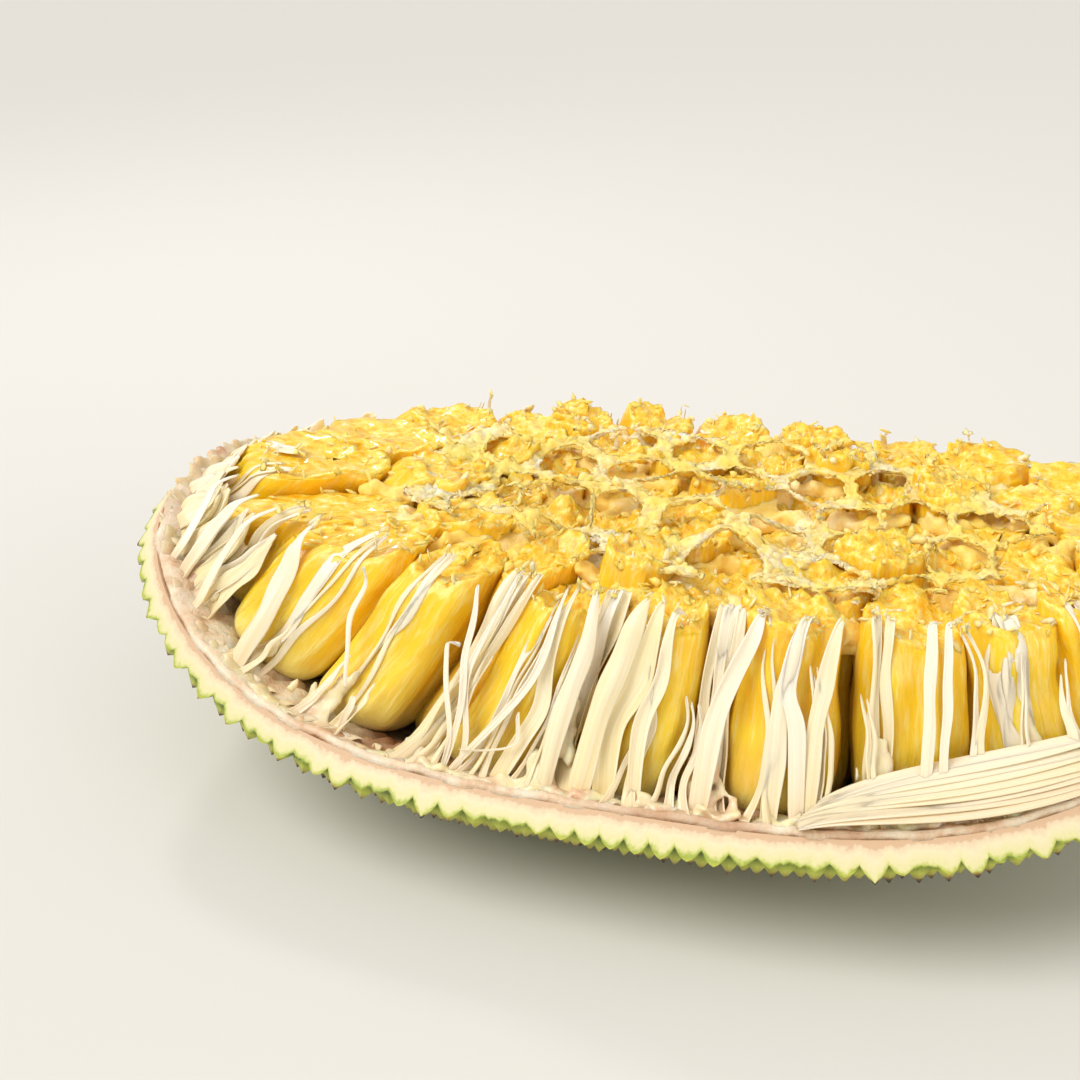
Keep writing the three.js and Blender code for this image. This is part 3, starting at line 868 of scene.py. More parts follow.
# %% Dress the bulbs
bulb_tops, bulb_middles, bulb_skins = [], [], []
for number, node in enumerate(bulb_nodes):
    flesh, top = upright_copy(node)
    apply_modifier(flesh, "SUBSURF", levels=3, render_levels=3)
    upright = points_of(flesh)
    faces_up = normals_of(flesh)[:, 2]
    middle = (upright.min(axis=0) + upright.max(axis=0)) / 2
    share = upright[:, 2] / upright[:, 2].max()
    # Towards the cut end the plain solid is drawn in, and the real bulbs are packed full.
    fuller = 1 + 0.25 * smooth_step(0.5, 0.95, share) + 0.07 * smooth_step(0.3, 0.1, share)
    upright[:, :2] = middle[:2] + (upright[:, :2] - middle[:2]) * fuller[:, None]
    offset = upright[:, :2] - middle[:2]
    angle = np.arctan2(offset[:, 1], offset[:, 0])
    radius = np.hypot(offset[:, 0], offset[:, 1])
    phase = random_bulb.uniform(0, 2 * np.pi, 6)
    folds = folds_round(angle, share, phase)
    side = smooth_step(2.0, 7.0, radius)
    belly = 1.1 * np.sin(np.pi * np.clip(share * 1.5, 0, 1)) + 0.7 * np.sin(
        2.4 * np.pi * share + phase[4]
    )
    dents = 0.9 * lumps(upright * [1, 1, 0.5] + 50 * number, 15, 2)
    push = side * (FATTEN + folds * smooth_step(0.0, 0.2, share) + belly + dents)
    away = offset / np.maximum(radius, 1e-6)[:, None]
    upright[:, :2] += away * push[:, None]
    # Inner bulbs were cut off at more uneven heights than those at the edge.
    is_inner = place(*middle[:2], *BULB_ROOM)[0] < OUTER_FROM
    taller = random_bulb.uniform(-9.0, 2.5) if is_inner else random_bulb.uniform(-5.0, 0.5)
    cut_end = smooth_step(0.35, 0.75, faces_up) * (share > 0.8)
    torn_here = np.maximum(smooth_step(0.9, 0.98, share), cut_end)
    ragged = lumps(upright + 31 * number, 7, 2)
    crumbs = lumps(upright + 67 * number, 2.2, 2)
    relief = torn_relief(upright, offset, radius, ragged, crumbs, number)
    upright[:, 2] += torn_here * relief
    upright[:, :2] += away * (torn_here * side * crumbs)[:, None]
    local_length = top + taller - bed_height(upright[:, 0], upright[:, 1])
    height = upright[:, 2] / BULB_LENGTH * local_length
    move_points(flesh, risen(upright[:, 0], upright[:, 1], height))
    # The grain starts at another place on each bulb, so that no two have the same streaks.
    keep_on_points(flesh, "grain", upright - [middle[0] - 90 * number, middle[1], 0])
    keep_on_points(flesh, "rise", share)
    torn_edge = smooth_step(0.955, 0.99, share + 0.03 * ragged)
    keep_on_points(flesh, "torn", np.maximum(torn_edge, cut_end))
    keep_on_points(flesh, "tone", np.full(len(share), random_bulb.uniform(-0.16, 0.16)))
    bulb_tops.append(points_of(flesh)[share > 0.965])
    bulb_middles.append([middle[0], middle[1], radius.max()])
    bulb_skins.append(flesh)
    shade_smooth(flesh)
    finish_piece(flesh, bulb_flesh, "bulb", node)
print(len(bulb_skins), "bulbs dressed")

# %% [markdown]
# ## Colour of the rags
# Between and in front of the bulbs stand the rags, the strands that never turned to flesh. They
# are white to cream, browner at the root, and milky: light spreads about a millimetre in them.
# Real transparency would be slow to render and would show the strands' inner walls, so the
# milkiness is left to light that spreads under the surface. The pattern follows each strand's
# own map, so that its fibres run along it however it bends.

# %% Rag material
# A wet fibre has a soft broad shine under a thin film of juice.
rag_fibre, shader = new_material(
    "wet_rag_fibre",
    Roughness=0.28,
    IOR=1.4,
    Subsurface_Weight=0.5,
    Coat_Weight=0.2,
    Coat_Roughness=0.2,
)
shader.inputs["Subsurface Radius"].default_value = (0.0016, 0.0018, 0.0022)
shader.inputs["Subsurface Scale"].default_value = 0.5
strand_map = add_node(rag_fibre, "UVMap", uv_map="UVMap").outputs["UV"]
tone = add_node(rag_fibre, "Attribute", attribute_name="tone").outputs["Fac"]
up_strand = add_node(rag_fibre, "Attribute", attribute_name="rise").outputs["Fac"]
# Nine fibres across a strand, each drawn out along it.
along_strand = add_node(
    rag_fibre, "Mapping", {"Vector": strand_map, "Scale": (9, 1.5, 1)}
).outputs["Vector"]
fibres = add_node(
    rag_fibre, "TexNoise", {"Vector": along_strand, "Scale": 1.0, "Detail": 3}
).outputs["Fac"]
by_root = add_node(
    rag_fibre,
    "ValToRGB",
    {"Fac": up_strand},
    stops=[
        (0.0, "#e4ccaa"),
        (1.0, "#f1e9d6"),
        (0.12, "#ecdbb8"),
        (0.35, "#f0e4ca"),
        (0.8, "#f2e9d6"),
    ],
).outputs["Color"]
toned = add_node(
    rag_fibre, "Mix", {0: tone, 6: by_root, 7: linear("#efdc9e")}, data_type="RGBA"
).outputs[2]
fibre_share = add_node(
    rag_fibre, "MapRange", {"Value": fibres, "From Min": 0.45, "From Max": 0.7, "To Max": 0.6}
).outputs[0]
rag_mix = add_node(
    rag_fibre, "Mix", {0: fibre_share, 6: toned, 7: linear("#f7f0e2")}, data_type="RGBA"
).outputs[2]
connect(rag_fibre, rag_mix, shader.inputs["Base Color"])
rag_bump = add_node(rag_fibre, "Bump", {"Height": fibres, "Strength": 0.25, "Distance": 0.0005})
connect(rag_fibre, rag_bump.outputs[0], shader.inputs["Normal"])

# %% [markdown]
# ## Forms of the strands
# A rag is a flat ribbon that splits into strands. A curve with a bevel would be quick, but it gives
# a wire and no ribbon. So one strand is a narrow grid with a few columns and rows, and each copy of
# it is bent along its own line. Wet strands cling to what they touch, and a strand that runs
# through a bulb would look like a fault. The bulbs' skins are therefore gathered for a search, and
# every point of a strand that lies in a bulb is moved out onto its skin.

# %% Strand forms and the bulbs' skins
STOPS = 15  # points along the line of each strand
long_form = grid_sheet("long_strand", 4, 12)
short_form = grid_sheet("short_strand", 2, 5)
random_rag = np.random.default_rng(11)
skin_points, skin_faces = [], []
for flesh in bulb_skins:
    skin_faces += [[len(skin_points) + i for i in f.vertices] for f in flesh.data.polygons]
    skin_points += (points_of(flesh) * MM).tolist()
all_skins = BVHTree.FromPolygons(skin_points, skin_faces)
print("bulb skins:", len(skin_faces), "faces to lay the strands on")

# %% [markdown]
# A strand that was drawn through a bulb is laid on it. The Shrinkwrap modifier could do this, but
# it would pull in the free points too. The search moves only those points that lie inside, and
# looks twice, because a point may come out of one bulb into the next.


# %% Laid on the bulbs
def laid_on_bulbs(points, clear=0.45):
    """Moves the points that lie in a bulb out onto its skin, as a wet strand clings to it."""
    laid = points * MM
    for i in range(len(laid)):
        for _ in range(2):
            near, normal, _, _ = all_skins.find_nearest(Vector(laid[i]), 0.008)
            if near is None or (Vector(laid[i]) - near).dot(normal) > clear * MM:
                break
            laid[i] = near + normal * clear * MM
    return laid / MM


# %% [markdown]
# One strand is made from a line of spots on the lining and a share of the height for each. It bows
# across its width, has fine ribs, wavers, and its end is uneven. A texture could draw the ribs, but
# in front of the dark gaps the outline shows them, so they are real.


# %% One strand
# The largest share of the height that a strand may reach, a little under the bulbs' tops.
HIGHEST_IN_FRONT, HIGHEST_BEHIND = 0.955, 0.92
strand_ends = []


def make_strand(spots, shares, half_widths, facing, tone, slant=0.0, form=long_form):
    """A strand through these spots on the lining, at these shares of the height. Facing is the
    direction in which its width lies at each step, and slant how far its outer edge hangs down."""
    template, across_strand, t = form
    steps = np.linspace(0, 1, len(shares))
    u = np.interp(t, steps, spots[:, 0])
    v = np.interp(t, steps, spots[:, 1])
    half = np.interp(t, steps, half_widths)
    wide_u = np.interp(t, steps, facing[:, 0])
    wide_v = np.interp(t, steps, facing[:, 1])
    aside = 2 * across_strand - 1
    phase = random_rag.uniform(0, 2 * np.pi, 6)
    half = half * (1 + 0.2 * np.sin(8 * t + 2 * aside + phase[0]))
    half = half * (1 + 0.1 * np.sin(19 * t + phase[1] * aside))
    # It bows across its width, and fine ribs run up it where its fibres lie.
    bowed = 0.5 * np.sin(phase[2] + 2 * t) * half * (1 - aside**2)
    bowed = bowed + 0.17 * np.minimum(half, 2.6) * np.cos(4 * np.pi * across_strand)
    uneven_end = 0.025 * np.sin(5 * aside + phase[3]) * t**6
    sunk_root = 0.04 * (1 - t) ** 8 if shares[0] < 0.08 else 0
    highest = np.where(v > 0, HIGHEST_BEHIND, HIGHEST_IN_FRONT)
    share = np.minimum(np.interp(t, steps, shares), highest)
    share = share + uneven_end - slant * aside - sunk_root
    waver = np.sin(np.pi * t) * (0.9 * np.sin(6 * t + phase[4]) + 0.4 * np.sin(14 * t + phase[5]))
    u = u + (aside * half + waver) * wide_u + bowed * wide_v
    v = v + (aside * half + waver) * wide_v - bowed * wide_u
    strand = add_object("strand", template.data.copy())
    move_points(strand, laid_on_bulbs(standing(u, v, share)))
    keep_on_points(strand, "rise", share)
    keep_on_points(strand, "tone", np.full(len(t), tone))
    if shares[-1] > 0.9:
        strand_ends.append(points_of(strand)[t > 0.97])
    return strand


print("a long strand has", len(long_form[0].data.polygons), "faces before it is rounded")

# %% [markdown]
# ## Bundles in the gaps
# In the gap between two outer bulbs a bundle of ribbons rises from one swollen root. It fans out
# at the foot and closes in at the top. Each could be drawn, but there are dozens, so their lines
# come from a few waves and seeded random numbers.


# %% Directions and gap bundles
LEFT_END = -60  # left of this the strands start further out, and the cushions are lower


def direction_out(spot):
    """The direction straight out from the bulbs at a spot on the lining."""
    slope = []
    for step in ([SLOPE_STEP, 0], [0, SLOPE_STEP]):
        further = place(*(spot + step), *BULB_ROOM)[0]
        nearer = place(*(spot - step), *BULB_ROOM)[0]
        slope.append(float(further - nearer))
    return np.array(slope) / np.hypot(*slope)


def gap_bundle(spot, count, broadest, reaches):
    """Ribbons that fill the gap between two outer bulbs, from a spread root to the tops."""
    outward = direction_out(spot)
    direction = np.array([-outward[1], outward[0]])
    made = []
    for j in range(count):
        home = (j + 0.5) / count * 2 - 1 + random_rag.uniform(-0.2, 0.2)
        wander = random_rag.uniform(0, 2 * np.pi, 3)
        reach = random_rag.uniform(*reaches)
        shares = np.linspace(0.0, reach, STOPS)
        root = np.maximum(0, 1 - shares / 0.16) ** 2
        beside = home * (3.8 + 4.2 * root + 1.3 * np.sin(4 * shares + wander[0]))
        beside = beside + 0.8 * np.sin(7 * shares + wander[1])
        ahead = 1.2 + 1.3 * home**2 + 5.5 * root + 0.8 * np.sin(8 * shares + wander[2])
        ahead = ahead - random_rag.uniform(0, 2.2) - 5 * smooth_step(0.84, 1.0, shares)
        ahead = ahead + (1.2 if spot[0] < LEFT_END else 0)
        spots = spot + direction * beside[:, None] + outward * ahead[:, None]
        twist = random_rag.uniform(-0.5, 0.5) + 0.45 * np.sin(3 * shares + wander[1])
        facing = direction * np.cos(twist)[:, None] + outward * np.sin(twist)[:, None]
        width = random_rag.uniform(0.3, 1.0) ** 1.4 * broadest * (1 + 0.8 * root)
        tone = random_rag.uniform(0.0, 0.7)
        made.append(make_strand(spots, shares, width, facing, tone))
    return made


# %% [markdown]
# The outer bulbs are sorted into a ring, and each gap between two neighbours gets one bundle. The
# gaps could be picked by hand, but sorted by angle they can't be missed. The bundles in front are
# full and high, as the picture shows them, and those behind are kept lower and plainer.

# %% Bundles between the outer bulbs
middles = np.array(bulb_middles)
is_outer = place(middles[:, 0], middles[:, 1], *BULB_ROOM)[0] > OUTER_FROM
ring = middles[is_outer]
ring = ring[np.argsort(np.arctan2(ring[:, 1] * LENGTH / WIDTH, ring[:, 0]))]
front, back = [], []
for here, after in zip(ring, np.roll(ring, -1, axis=0)):
    spot = (here[:2] + after[:2]) / 2
    spot = spot * 0.965 / place(*spot, *BULB_ROOM)[0]
    in_front = spot[1] < 0
    rich = in_front and -75 < spot[0] < 150
    reaches = (0.94, 1.02) if in_front else (0.7, 0.92)
    strands = gap_bundle(spot, 4 if rich else 3, 4.0 if rich else 2.6, reaches)
    (front if in_front else back).extend(strands)
print(len(ring), "outer bulbs")

# %% [markdown]
# ## Fan and lying roots
# At the left end the rags are broad and lie side by side against the bulbs, like a fan. All round,
# short roots lie on the lining and run out towards the rim. Both follow the outline of the bulbs,
# so each strand is given by stops: how far round it is, and its share of the height.


# %% A strand given by its stops
def placed_strand(half_width, tone, ahead, *stops, slant=0.0):
    """A strand given by its listed stops: each stop is a turn round the bulbs and a share of the
    height. One with a slant lies along the bulbs, with its outer edge hanging down."""
    stops = np.array(stops)
    even = np.linspace(0, len(stops) - 1, STOPS)
    turn_at = np.interp(even, range(len(stops)), stops[:, 0])
    share_at = np.interp(even, range(len(stops)), stops[:, 1])
    for _ in range(2):
        turn_at[1:-1] = (turn_at[:-2] + 2 * turn_at[1:-1] + turn_at[2:]) / 4
        share_at[1:-1] = (share_at[:-2] + 2 * share_at[1:-1] + share_at[2:]) / 4
    spots = np.stack(on_outline(turn_at, 1.0, *BULB_ROOM), -1)
    outward = np.array([direction_out(spot) for spot in spots])
    ahead = ahead - 5 * smooth_step(0.84, 1.0, share_at) + 0.5 * np.sin(np.linspace(0, 7, STOPS))
    spots = spots + outward * ahead[:, None]
    facing = 0.6 * outward if slant else np.stack([-outward[:, 1], outward[:, 0]], -1)
    along = np.linspace(0, 1, STOPS)
    taper = 0.5 + 0.5 * np.sin(np.pi * (0.15 + 0.77 * along))
    taper = taper * (1 - 0.7 * smooth_step(0.75, 1, along))
    return make_strand(spots, share_at, half_width * taper, facing, tone, slant)


# %% [markdown]
# The fan is a row of broad strands at even steps, each swayed a little. Drawn one by one they would
# take long, and at even steps without the sway they would look like a comb.

# %% Fan at the left end
FAN_TURNS = np.arange(0.428, 0.6, 0.0066)
for turn_here in FAN_TURNS:
    sway = random_rag.uniform(-0.004, 0.004, 3)
    reach = random_rag.uniform(0.72, 0.97) if turn_here > 0.49 else random_rag.uniform(0.5, 0.8)
    stops = [
        (turn_here + sway[0], 0.0),
        (turn_here + sway[1], 0.3 * reach),
        (turn_here + sway[2], 0.65 * reach),
        (turn_here + 1.6 * sway[2], reach),
    ]
    half_width = random_rag.uniform(2.4, 6.0)
    strand = placed_strand(half_width, random_rag.uniform(0.1, 0.9), 1.0, *stops)
    (front if turn_here > 0.5 else back).append(strand)
print("strands so far:", len(front), "in front,", len(back), "behind")

# %% [markdown]
# The short roots are small and many, so they are copies of the small form with few faces. They
# could be part of the lining, but then they couldn't overlap. They lie almost flat and end before
# the rim.

# %% Lying roots
ROOT_TURNS = np.arange(0, 1, 0.0062)
roots_lying = []
for turn_here in ROOT_TURNS:
    spot = np.array(on_outline(turn_here + random_rag.uniform(-0.002, 0.002), 1.0, *BULB_ROOM))
    outward = direction_out(spot)
    direction = np.array([-outward[1], outward[0]])
    out = np.linspace(-1.0, random_rag.uniform(3.0, 7.5), STOPS)
    beside = random_rag.uniform(-4, 4) * np.linspace(0, 1, STOPS) ** 2
    spots = spot + outward * out[:, None] + direction * beside[:, None]
    shares = np.linspace(0.03, 0.004, STOPS) + 0.012 * np.sin(np.linspace(0, 5, STOPS))
    widths = random_rag.uniform(0.9, 2.6) * np.linspace(1.2, 0.4, STOPS)
    along_rim = np.tile(direction, (STOPS, 1))
    tone = random_rag.uniform(0, 0.5)
    roots_lying.append(make_strand(spots, shares, widths, along_rim, tone, form=short_form))
print(len(roots_lying), "short roots lie on the lining")

# %% [markdown]
# ## Strands given one by one
# The eye knows the largest strands in front one by one, and random ones would never match them. So
# these are listed one by one. Right of the middle a broad bundle also lies across the feet of the
# bulbs.
# One wide ribbon would look like a leaf there, so it is nine narrow ones that overlap, each a
# little lower than the last.

# %% Bundle across the feet
SWEEPING = 9
for j in range(SWEEPING):
    low = j / (SWEEPING - 1)
    last = 0.878 - 0.012 * random_rag.uniform(0, 1) - 0.02 * low
    stops = [
        (0.7965, 0.07 - 0.03 * low),
        (0.805, 0.17 - 0.12 * low),
        (0.82, 0.25 - 0.19 * low + random_rag.uniform(-0.012, 0.012)),
        (0.84, 0.29 - 0.24 * low + random_rag.uniform(-0.012, 0.012)),
        (last, 0.3 - 0.26 * low),
        (last + 0.02, 0.2 - 0.2 * low),
        (last + 0.034, 0.02 - 0.06 * low),
    ]
    half_width = random_rag.uniform(1.1, 2.8)
    ahead = 3.0 + 6.5 * low
    front.append(placed_strand(half_width, random_rag.uniform(0, 0.25), ahead, *stops, slant=0.02))
print(SWEEPING, "strands lie across the feet")

# %% [markdown]
# The largest strands in front are a table, so that one can be changed without touching another.
# Each row has half the width in millimetres, the tone, the distance out from the bulbs, and then
# the stops: the turn round the bulbs, and the share of the height.

# %% Strands in front, one by one
STRANDS_IN_FRONT = [
    (
        0.95, 0, 3.4,
        (0.659, 0.22), (0.653, 0.37), (0.647, 0.48), (0.6425, 0.64), (0.6435, 0.77),
        (0.6385, 0.84),
    ),
    (1.3, 0, 3.2, (0.663, 0.2), (0.665, 0.1), (0.6665, 0.03), (0.67, 0.02)),
    (
        0.9, 0, 4.0,
        (0.7, 0.02), (0.6985, 0.13), (0.695, 0.24), (0.6865, 0.42), (0.678, 0.57),
        (0.678, 0.61), (0.684, 0.6),
    ),
    (
        1.2, 0, 3.8,
        (0.7, 0.0), (0.6985, 0.14), (0.6945, 0.35), (0.6875, 0.53), (0.686, 0.63),
        (0.6805, 0.83), (0.6775, 0.9),
    ),
    (
        1.1, 0, 3.4,
        (0.7035, 0.02), (0.703, 0.14), (0.6915, 0.39), (0.689, 0.56), (0.69, 0.67),
        (0.689, 0.96),
    ),
    (
        1.6, 0, 3.6,
        (0.702, 0.05), (0.7045, 0.18), (0.7085, 0.29), (0.71, 0.46), (0.7115, 0.64),
        (0.71, 0.81), (0.709, 0.98),
    ),
    (0.7, 0, 5.0, (0.702, 0.12), (0.707, 0.13), (0.7145, 0.17), (0.716, 0.24), (0.7125, 0.35)),
    (
        3.2, 0.5, 2.2,
        (0.7155, 0.0), (0.7155, 0.19), (0.717, 0.35), (0.715, 0.52), (0.7115, 0.77),
        (0.7125, 0.98),
    ),
    (3.6, 0.3, 2.6, (0.7295, 0.0), (0.7255, 0.4), (0.725, 0.59), (0.7225, 0.84), (0.72, 1.02)),
    (4.6, 0.6, 2.6, (0.738, 0.0), (0.736, 0.42), (0.7375, 0.62), (0.739, 0.88), (0.7415, 1.02)),
    (4.8, 0.8, 2.4, (0.747, 0.0), (0.741, 0.34), (0.743, 0.48), (0.746, 0.79), (0.7475, 1.02)),
    (2.8, 0.4, 3.2, (0.755, 0.02), (0.75, 0.36), (0.7515, 0.56), (0.752, 0.75), (0.753, 1.03)),
    (3.6, 0.15, 3.0, (0.772, 0.0), (0.7705, 0.4), (0.7745, 0.6), (0.7795, 0.85), (0.782, 1.03)),
    (3.2, 0.3, 2.8, (0.79, 0.0), (0.79, 0.29), (0.7895, 0.58), (0.7925, 0.82), (0.7955, 1.04)),
    (3.0, 0.0, 3.4, (0.7965, 0.05), (0.794, 0.49), (0.792, 0.62), (0.793, 0.86), (0.797, 1.04)),
    (3.0, 0.5, 2.4, (0.799, 0.0), (0.799, 0.35), (0.8005, 0.59), (0.8025, 0.78), (0.806, 1.02)),
    (
        2.1, 0.1, 3.4,
        (0.828, 0.06), (0.829, 0.4), (0.829, 0.58), (0.8305, 0.74), (0.8315, 0.99),
        (0.8335, 1.04),
    ),
    (
        1.5, 0.0, 3.8,
        (0.833, 0.06), (0.834, 0.4), (0.834, 0.57), (0.8345, 0.74), (0.836, 0.99),
        (0.839, 1.04),
    ),
    (2.4, 0.0, 3.6, (0.574, 0.0), (0.572, 0.24), (0.5565, 0.65), (0.545, 0.95)),
    (2.6, 0.1, 3.2, (0.583, 0.0), (0.581, 0.23), (0.5715, 0.75), (0.57, 0.98)),
    (1.6, 0.1, 3.2, (0.5985, 0.0), (0.5975, 0.1), (0.587, 0.58), (0.5865, 1.0)),
    (3.8, 0.3, 2.2, (0.625, 0.0), (0.623, 0.2), (0.618, 0.45), (0.612, 0.72), (0.606, 0.95)),
]
front += [placed_strand(*row) for row in STRANDS_IN_FRONT]
print(len(STRANDS_IN_FRONT), "strands set by hand")

# %% [markdown]
# ## Thin strands all round
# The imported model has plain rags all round. Here each of them is split into one to three thin
# strands on the same line, because the real rags are torn and thin there. One broad band each
# would be quicker, and would look like a strip of paper.


# %% Bundles on the plain rags
OUTER_RAGS = 54
LEAST_RAG, MOST_RAG = 1.5, 4.2  # half widths
PATH_SPOTS = 4 * OUTER_RAGS
FAN_END = -125  # left of this a fan of broad rags stands instead
outline_u, outline_v = on_outline(np.arange(PATH_SPOTS) / PATH_SPOTS, 1.0, *BULB_ROOM)
path = np.stack([outline_u, outline_v], axis=-1)


def spread(k, step):
    """A share from 0 to 1 that is spread evenly as k counts up."""
    return (k * step) % 1


def outer_bundle(k, path):
    """The strands of rag number k of those that stand all round, in front of the bulbs."""
    start = 4 * k + math.floor(3 * spread(k, 0.618))
    spot = path[start]
    direction = path[(start + 1) % len(path)] - spot
    direction = direction / np.linalg.norm(direction)
    outward = np.array([direction[1], -direction[0]])
    broad = 1.7 if spot[0] < FAN_END else 1
    half_width = (LEAST_RAG + (MOST_RAG - LEAST_RAG) * spread(k, 0.414)) * broad
    height = 0.55 + 0.45 * spread(k, 0.732)
    drifts = [10 * spread(4 * k + ring, 0.236) - 5 for ring in range(4)]
    # In front of the left end only short thin ones are left.
    short = spot[0] < -70 and spot[1] < 0
    height = height * (0.45 if short else 1)
    knots = [share for share in (0, 0.42, 0.76) if share < height - 0.1] + [height]
    count = 1 if short else 2 if half_width < 3.4 else 3
    made = []
    for j in range(count):
        home = (j + 0.5) / count * 2 - 1
        wander = random_rag.uniform(0, 2 * np.pi, 3)
        reach = height * random_rag.uniform(0.86, 1.0)
        shares = np.linspace(0.0, reach, STOPS)
        drift = np.interp(shares, knots, [d * s for d, s in zip(drifts, knots)])
        size = np.interp(shares, knots, [1.5, 1, 0.85][: len(knots) - 1] + [0.7])
        root = np.maximum(0, 1 - shares / 0.13) ** 2
        ahead = 2.2 - 1.2 * shares + 0.6 * np.sin(9 * shares + wander[0]) + 4 * root
        beside = drift + half_width * size * (home * 0.9 + 0.22 * np.sin(8 * shares + wander[1]))
        beside = beside + 4 * root * home
        spots = spot + direction * beside[:, None] + outward * ahead[:, None]
        twist = 0.7 * np.sin(3.5 * shares + wander[2])
        facing = direction * np.cos(twist)[:, None] + outward * np.sin(twist)[:, None]
        width = half_width / count * random_rag.uniform(0.55, 1.15) * (0.45 if short else 1)
        taper = 0.12 + 0.88 * np.minimum(1, (reach - shares) / (0.4 * reach))
        flare = 1 + 0.9 * root
        made.append(
            make_strand(spots, shares, width * taper * flare, facing, random_rag.uniform(0, 0.6))
        )
    return made


for k in range(OUTER_RAGS):
    if path[4 * k, 0] >= FAN_END:
        bundle = outer_bundle(k, path)
        (front if path[4 * k, 1] < 0 else back).extend(bundle)
print(len(front), "strands in front,", len(back), "behind")


# %% [markdown]
# Hundreds of loose strands would be hundreds of pieces to keep in order. They are joined to three,
# for the front, the back and the roots that lie on the lining. A flat strand has no thickness, so each
# piece is made solid, and one subdivision rounds its edges.


# %% Join the strands
STRAND_THICKNESS = 0.7


def join_strands(name, strands):
    select_only(*strands)
    bpy.ops.object.join()
    joined = bpy.context.object
    joined.name = name
    apply_modifier(joined, "SOLIDIFY", thickness=STRAND_THICKNESS * MM, offset=0)
    apply_modifier(joined, "SUBSURF", levels=1, render_levels=1)
    shade_smooth(joined)
    finish_piece(joined, rag_fibre, "rag")


join_strands("rags_front", front)
join_strands("rags_back", back)
join_strands("rags_lying", roots_lying)

# %% [markdown]
# ## Colour of the roots
# Where the rags grow from the lining they are swollen and paler than it, with fibres that run up.
# They could share the lining's material, but its bruises would lie across them. So they get their
# own, cream with tan patches, and browner at the left end, as in the picture.

# %% Root material
# Swollen fibre is soft and full of water: it shines a little and lets some light through.
rag_root, shader = new_material(
    "swollen_rag_root",
    Roughness=0.36,
    IOR=1.4,
    Subsurface_Weight=0.5,
    Coat_Weight=0.3,
    Coat_Roughness=0.2,
)
shader.inputs["Subsurface Radius"].default_value = (0.007, 0.004, 0.002)
shader.inputs["Subsurface Scale"].default_value = 0.6
coordinates = add_node(rag_root, "TexCoord").outputs["Object"]
upward = add_node(
    rag_root, "Mapping", {"Vector": coordinates, "Scale": (1, 1, 0.25)}
).outputs["Vector"]
root_fibres = add_node(
    rag_root,
    "TexNoise",
    {"Vector": upward, "Scale": once_in(2.38), "Detail": 4, "Distortion": 0.4},
).outputs["Fac"]
root_patches = add_node(
    rag_root, "TexNoise", {"Vector": coordinates, "Scale": once_in(13.3), "Detail": 3}
).outputs["Fac"]
root_colour = add_node(
    rag_root,
    "ValToRGB",
    {"Fac": root_patches},
    stops=[(0.33, "#cf9f7c"), (0.68, "#f2e3ae"), (0.42, "#e6c9a2"), (0.52, "#efdfb4")],
).outputs["Color"]
root_white = add_node(
    rag_root, "MapRange", {"Value": root_fibres, "From Min": 0.5, "From Max": 0.72, "To Max": 0.6}
).outputs[0]
root_mix = add_node(
    rag_root, "Mix", {0: root_white, 6: root_colour, 7: linear("#faf2dc")}, data_type="RGBA"
).outputs[2]
# The left end is browner.
along_fruit = add_node(rag_root, "SeparateXYZ", {0: coordinates}).outputs[0]
leftward = add_node(
    rag_root,
    "MapRange",
    {"Value": along_fruit, "From Min": -0.08, "From Max": -0.15, "To Max": 0.65},
).outputs[0]
browner = add_node(
    rag_root, "Math", {0: leftward, 1: root_patches}, operation="MULTIPLY"
).outputs[0]
root_mix = add_node(
    rag_root, "Mix", {0: browner, 6: root_mix, 7: linear("#b07a50")}, data_type="RGBA"
).outputs[2]
connect(rag_root, root_mix, shader.inputs["Base Color"])
root_bump = add_node(rag_root, "Bump", {"Height": root_fibres, "Strength": 0.6, "Distance": 0.001})
connect(rag_root, root_bump.outputs[0], shader.inputs["Normal"])

# %% [markdown]
# ## Small lumps, copied many times
# Soft torn matter is made of hundreds of bits that nobody looks at one by one. A particle system
# could strew them, but its copies wouldn't be meshes of their own. So one ball of twenty faces is
# copied to many spots by numbers, and each copy has its own size, direction and dents.

# %% Strew small lumps
random_crumb = np.random.default_rng(23)
bpy.ops.object.select_all(action="DESELECT")
bpy.ops.mesh.primitive_ico_sphere_add(subdivisions=1, radius=1)
ball = bpy.context.object
lump_form = points_of(ball) * MM
lump_faces = np.array([tuple(face.vertices) for face in ball.data.polygons])
bpy.data.objects.remove(ball)


def strew(name, spots, sizes, upwards):
    """One small lumpy form copied to every spot, at its three sizes, along its own direction."""
    count = len(spots)
    up = upwards / np.linalg.norm(upwards, axis=1, keepdims=True)
    aside = np.cross(up, random_crumb.normal(size=(count, 3)))
    aside /= np.linalg.norm(aside, axis=1, keepdims=True)
    third = np.cross(up, aside)
    body = lump_form[None] * (1 + random_crumb.uniform(-0.28, 0.28, (count, len(lump_form), 1)))
    body = body * sizes[:, None]
    placed = body[..., 0:1] * aside[:, None] + body[..., 1:2] * third[:, None]
    placed = placed + body[..., 2:3] * up[:, None]
    points = (placed + spots[:, None]).reshape(-1, 3)
    first = np.arange(count) * len(lump_form)
    faces = (lump_faces[None] + first[:, None, None]).reshape(-1, 3)
    mesh = bpy.data.meshes.new(name)
    mesh.from_pydata((points * MM).tolist(), [], faces.tolist())
    print(name, "from", count, "lumps")
    return add_object(name, mesh)


# %% [markdown]
# ## Root cushions
# At their feet the rags swell into soft pale lumps that climb a little way up between the bulbs.
# Modelling each one would show its seams. So many small lumps are laid overlapping, leaning with
# the flesh, and a remesh melts them into one skin, which is then roughened and smoothed.

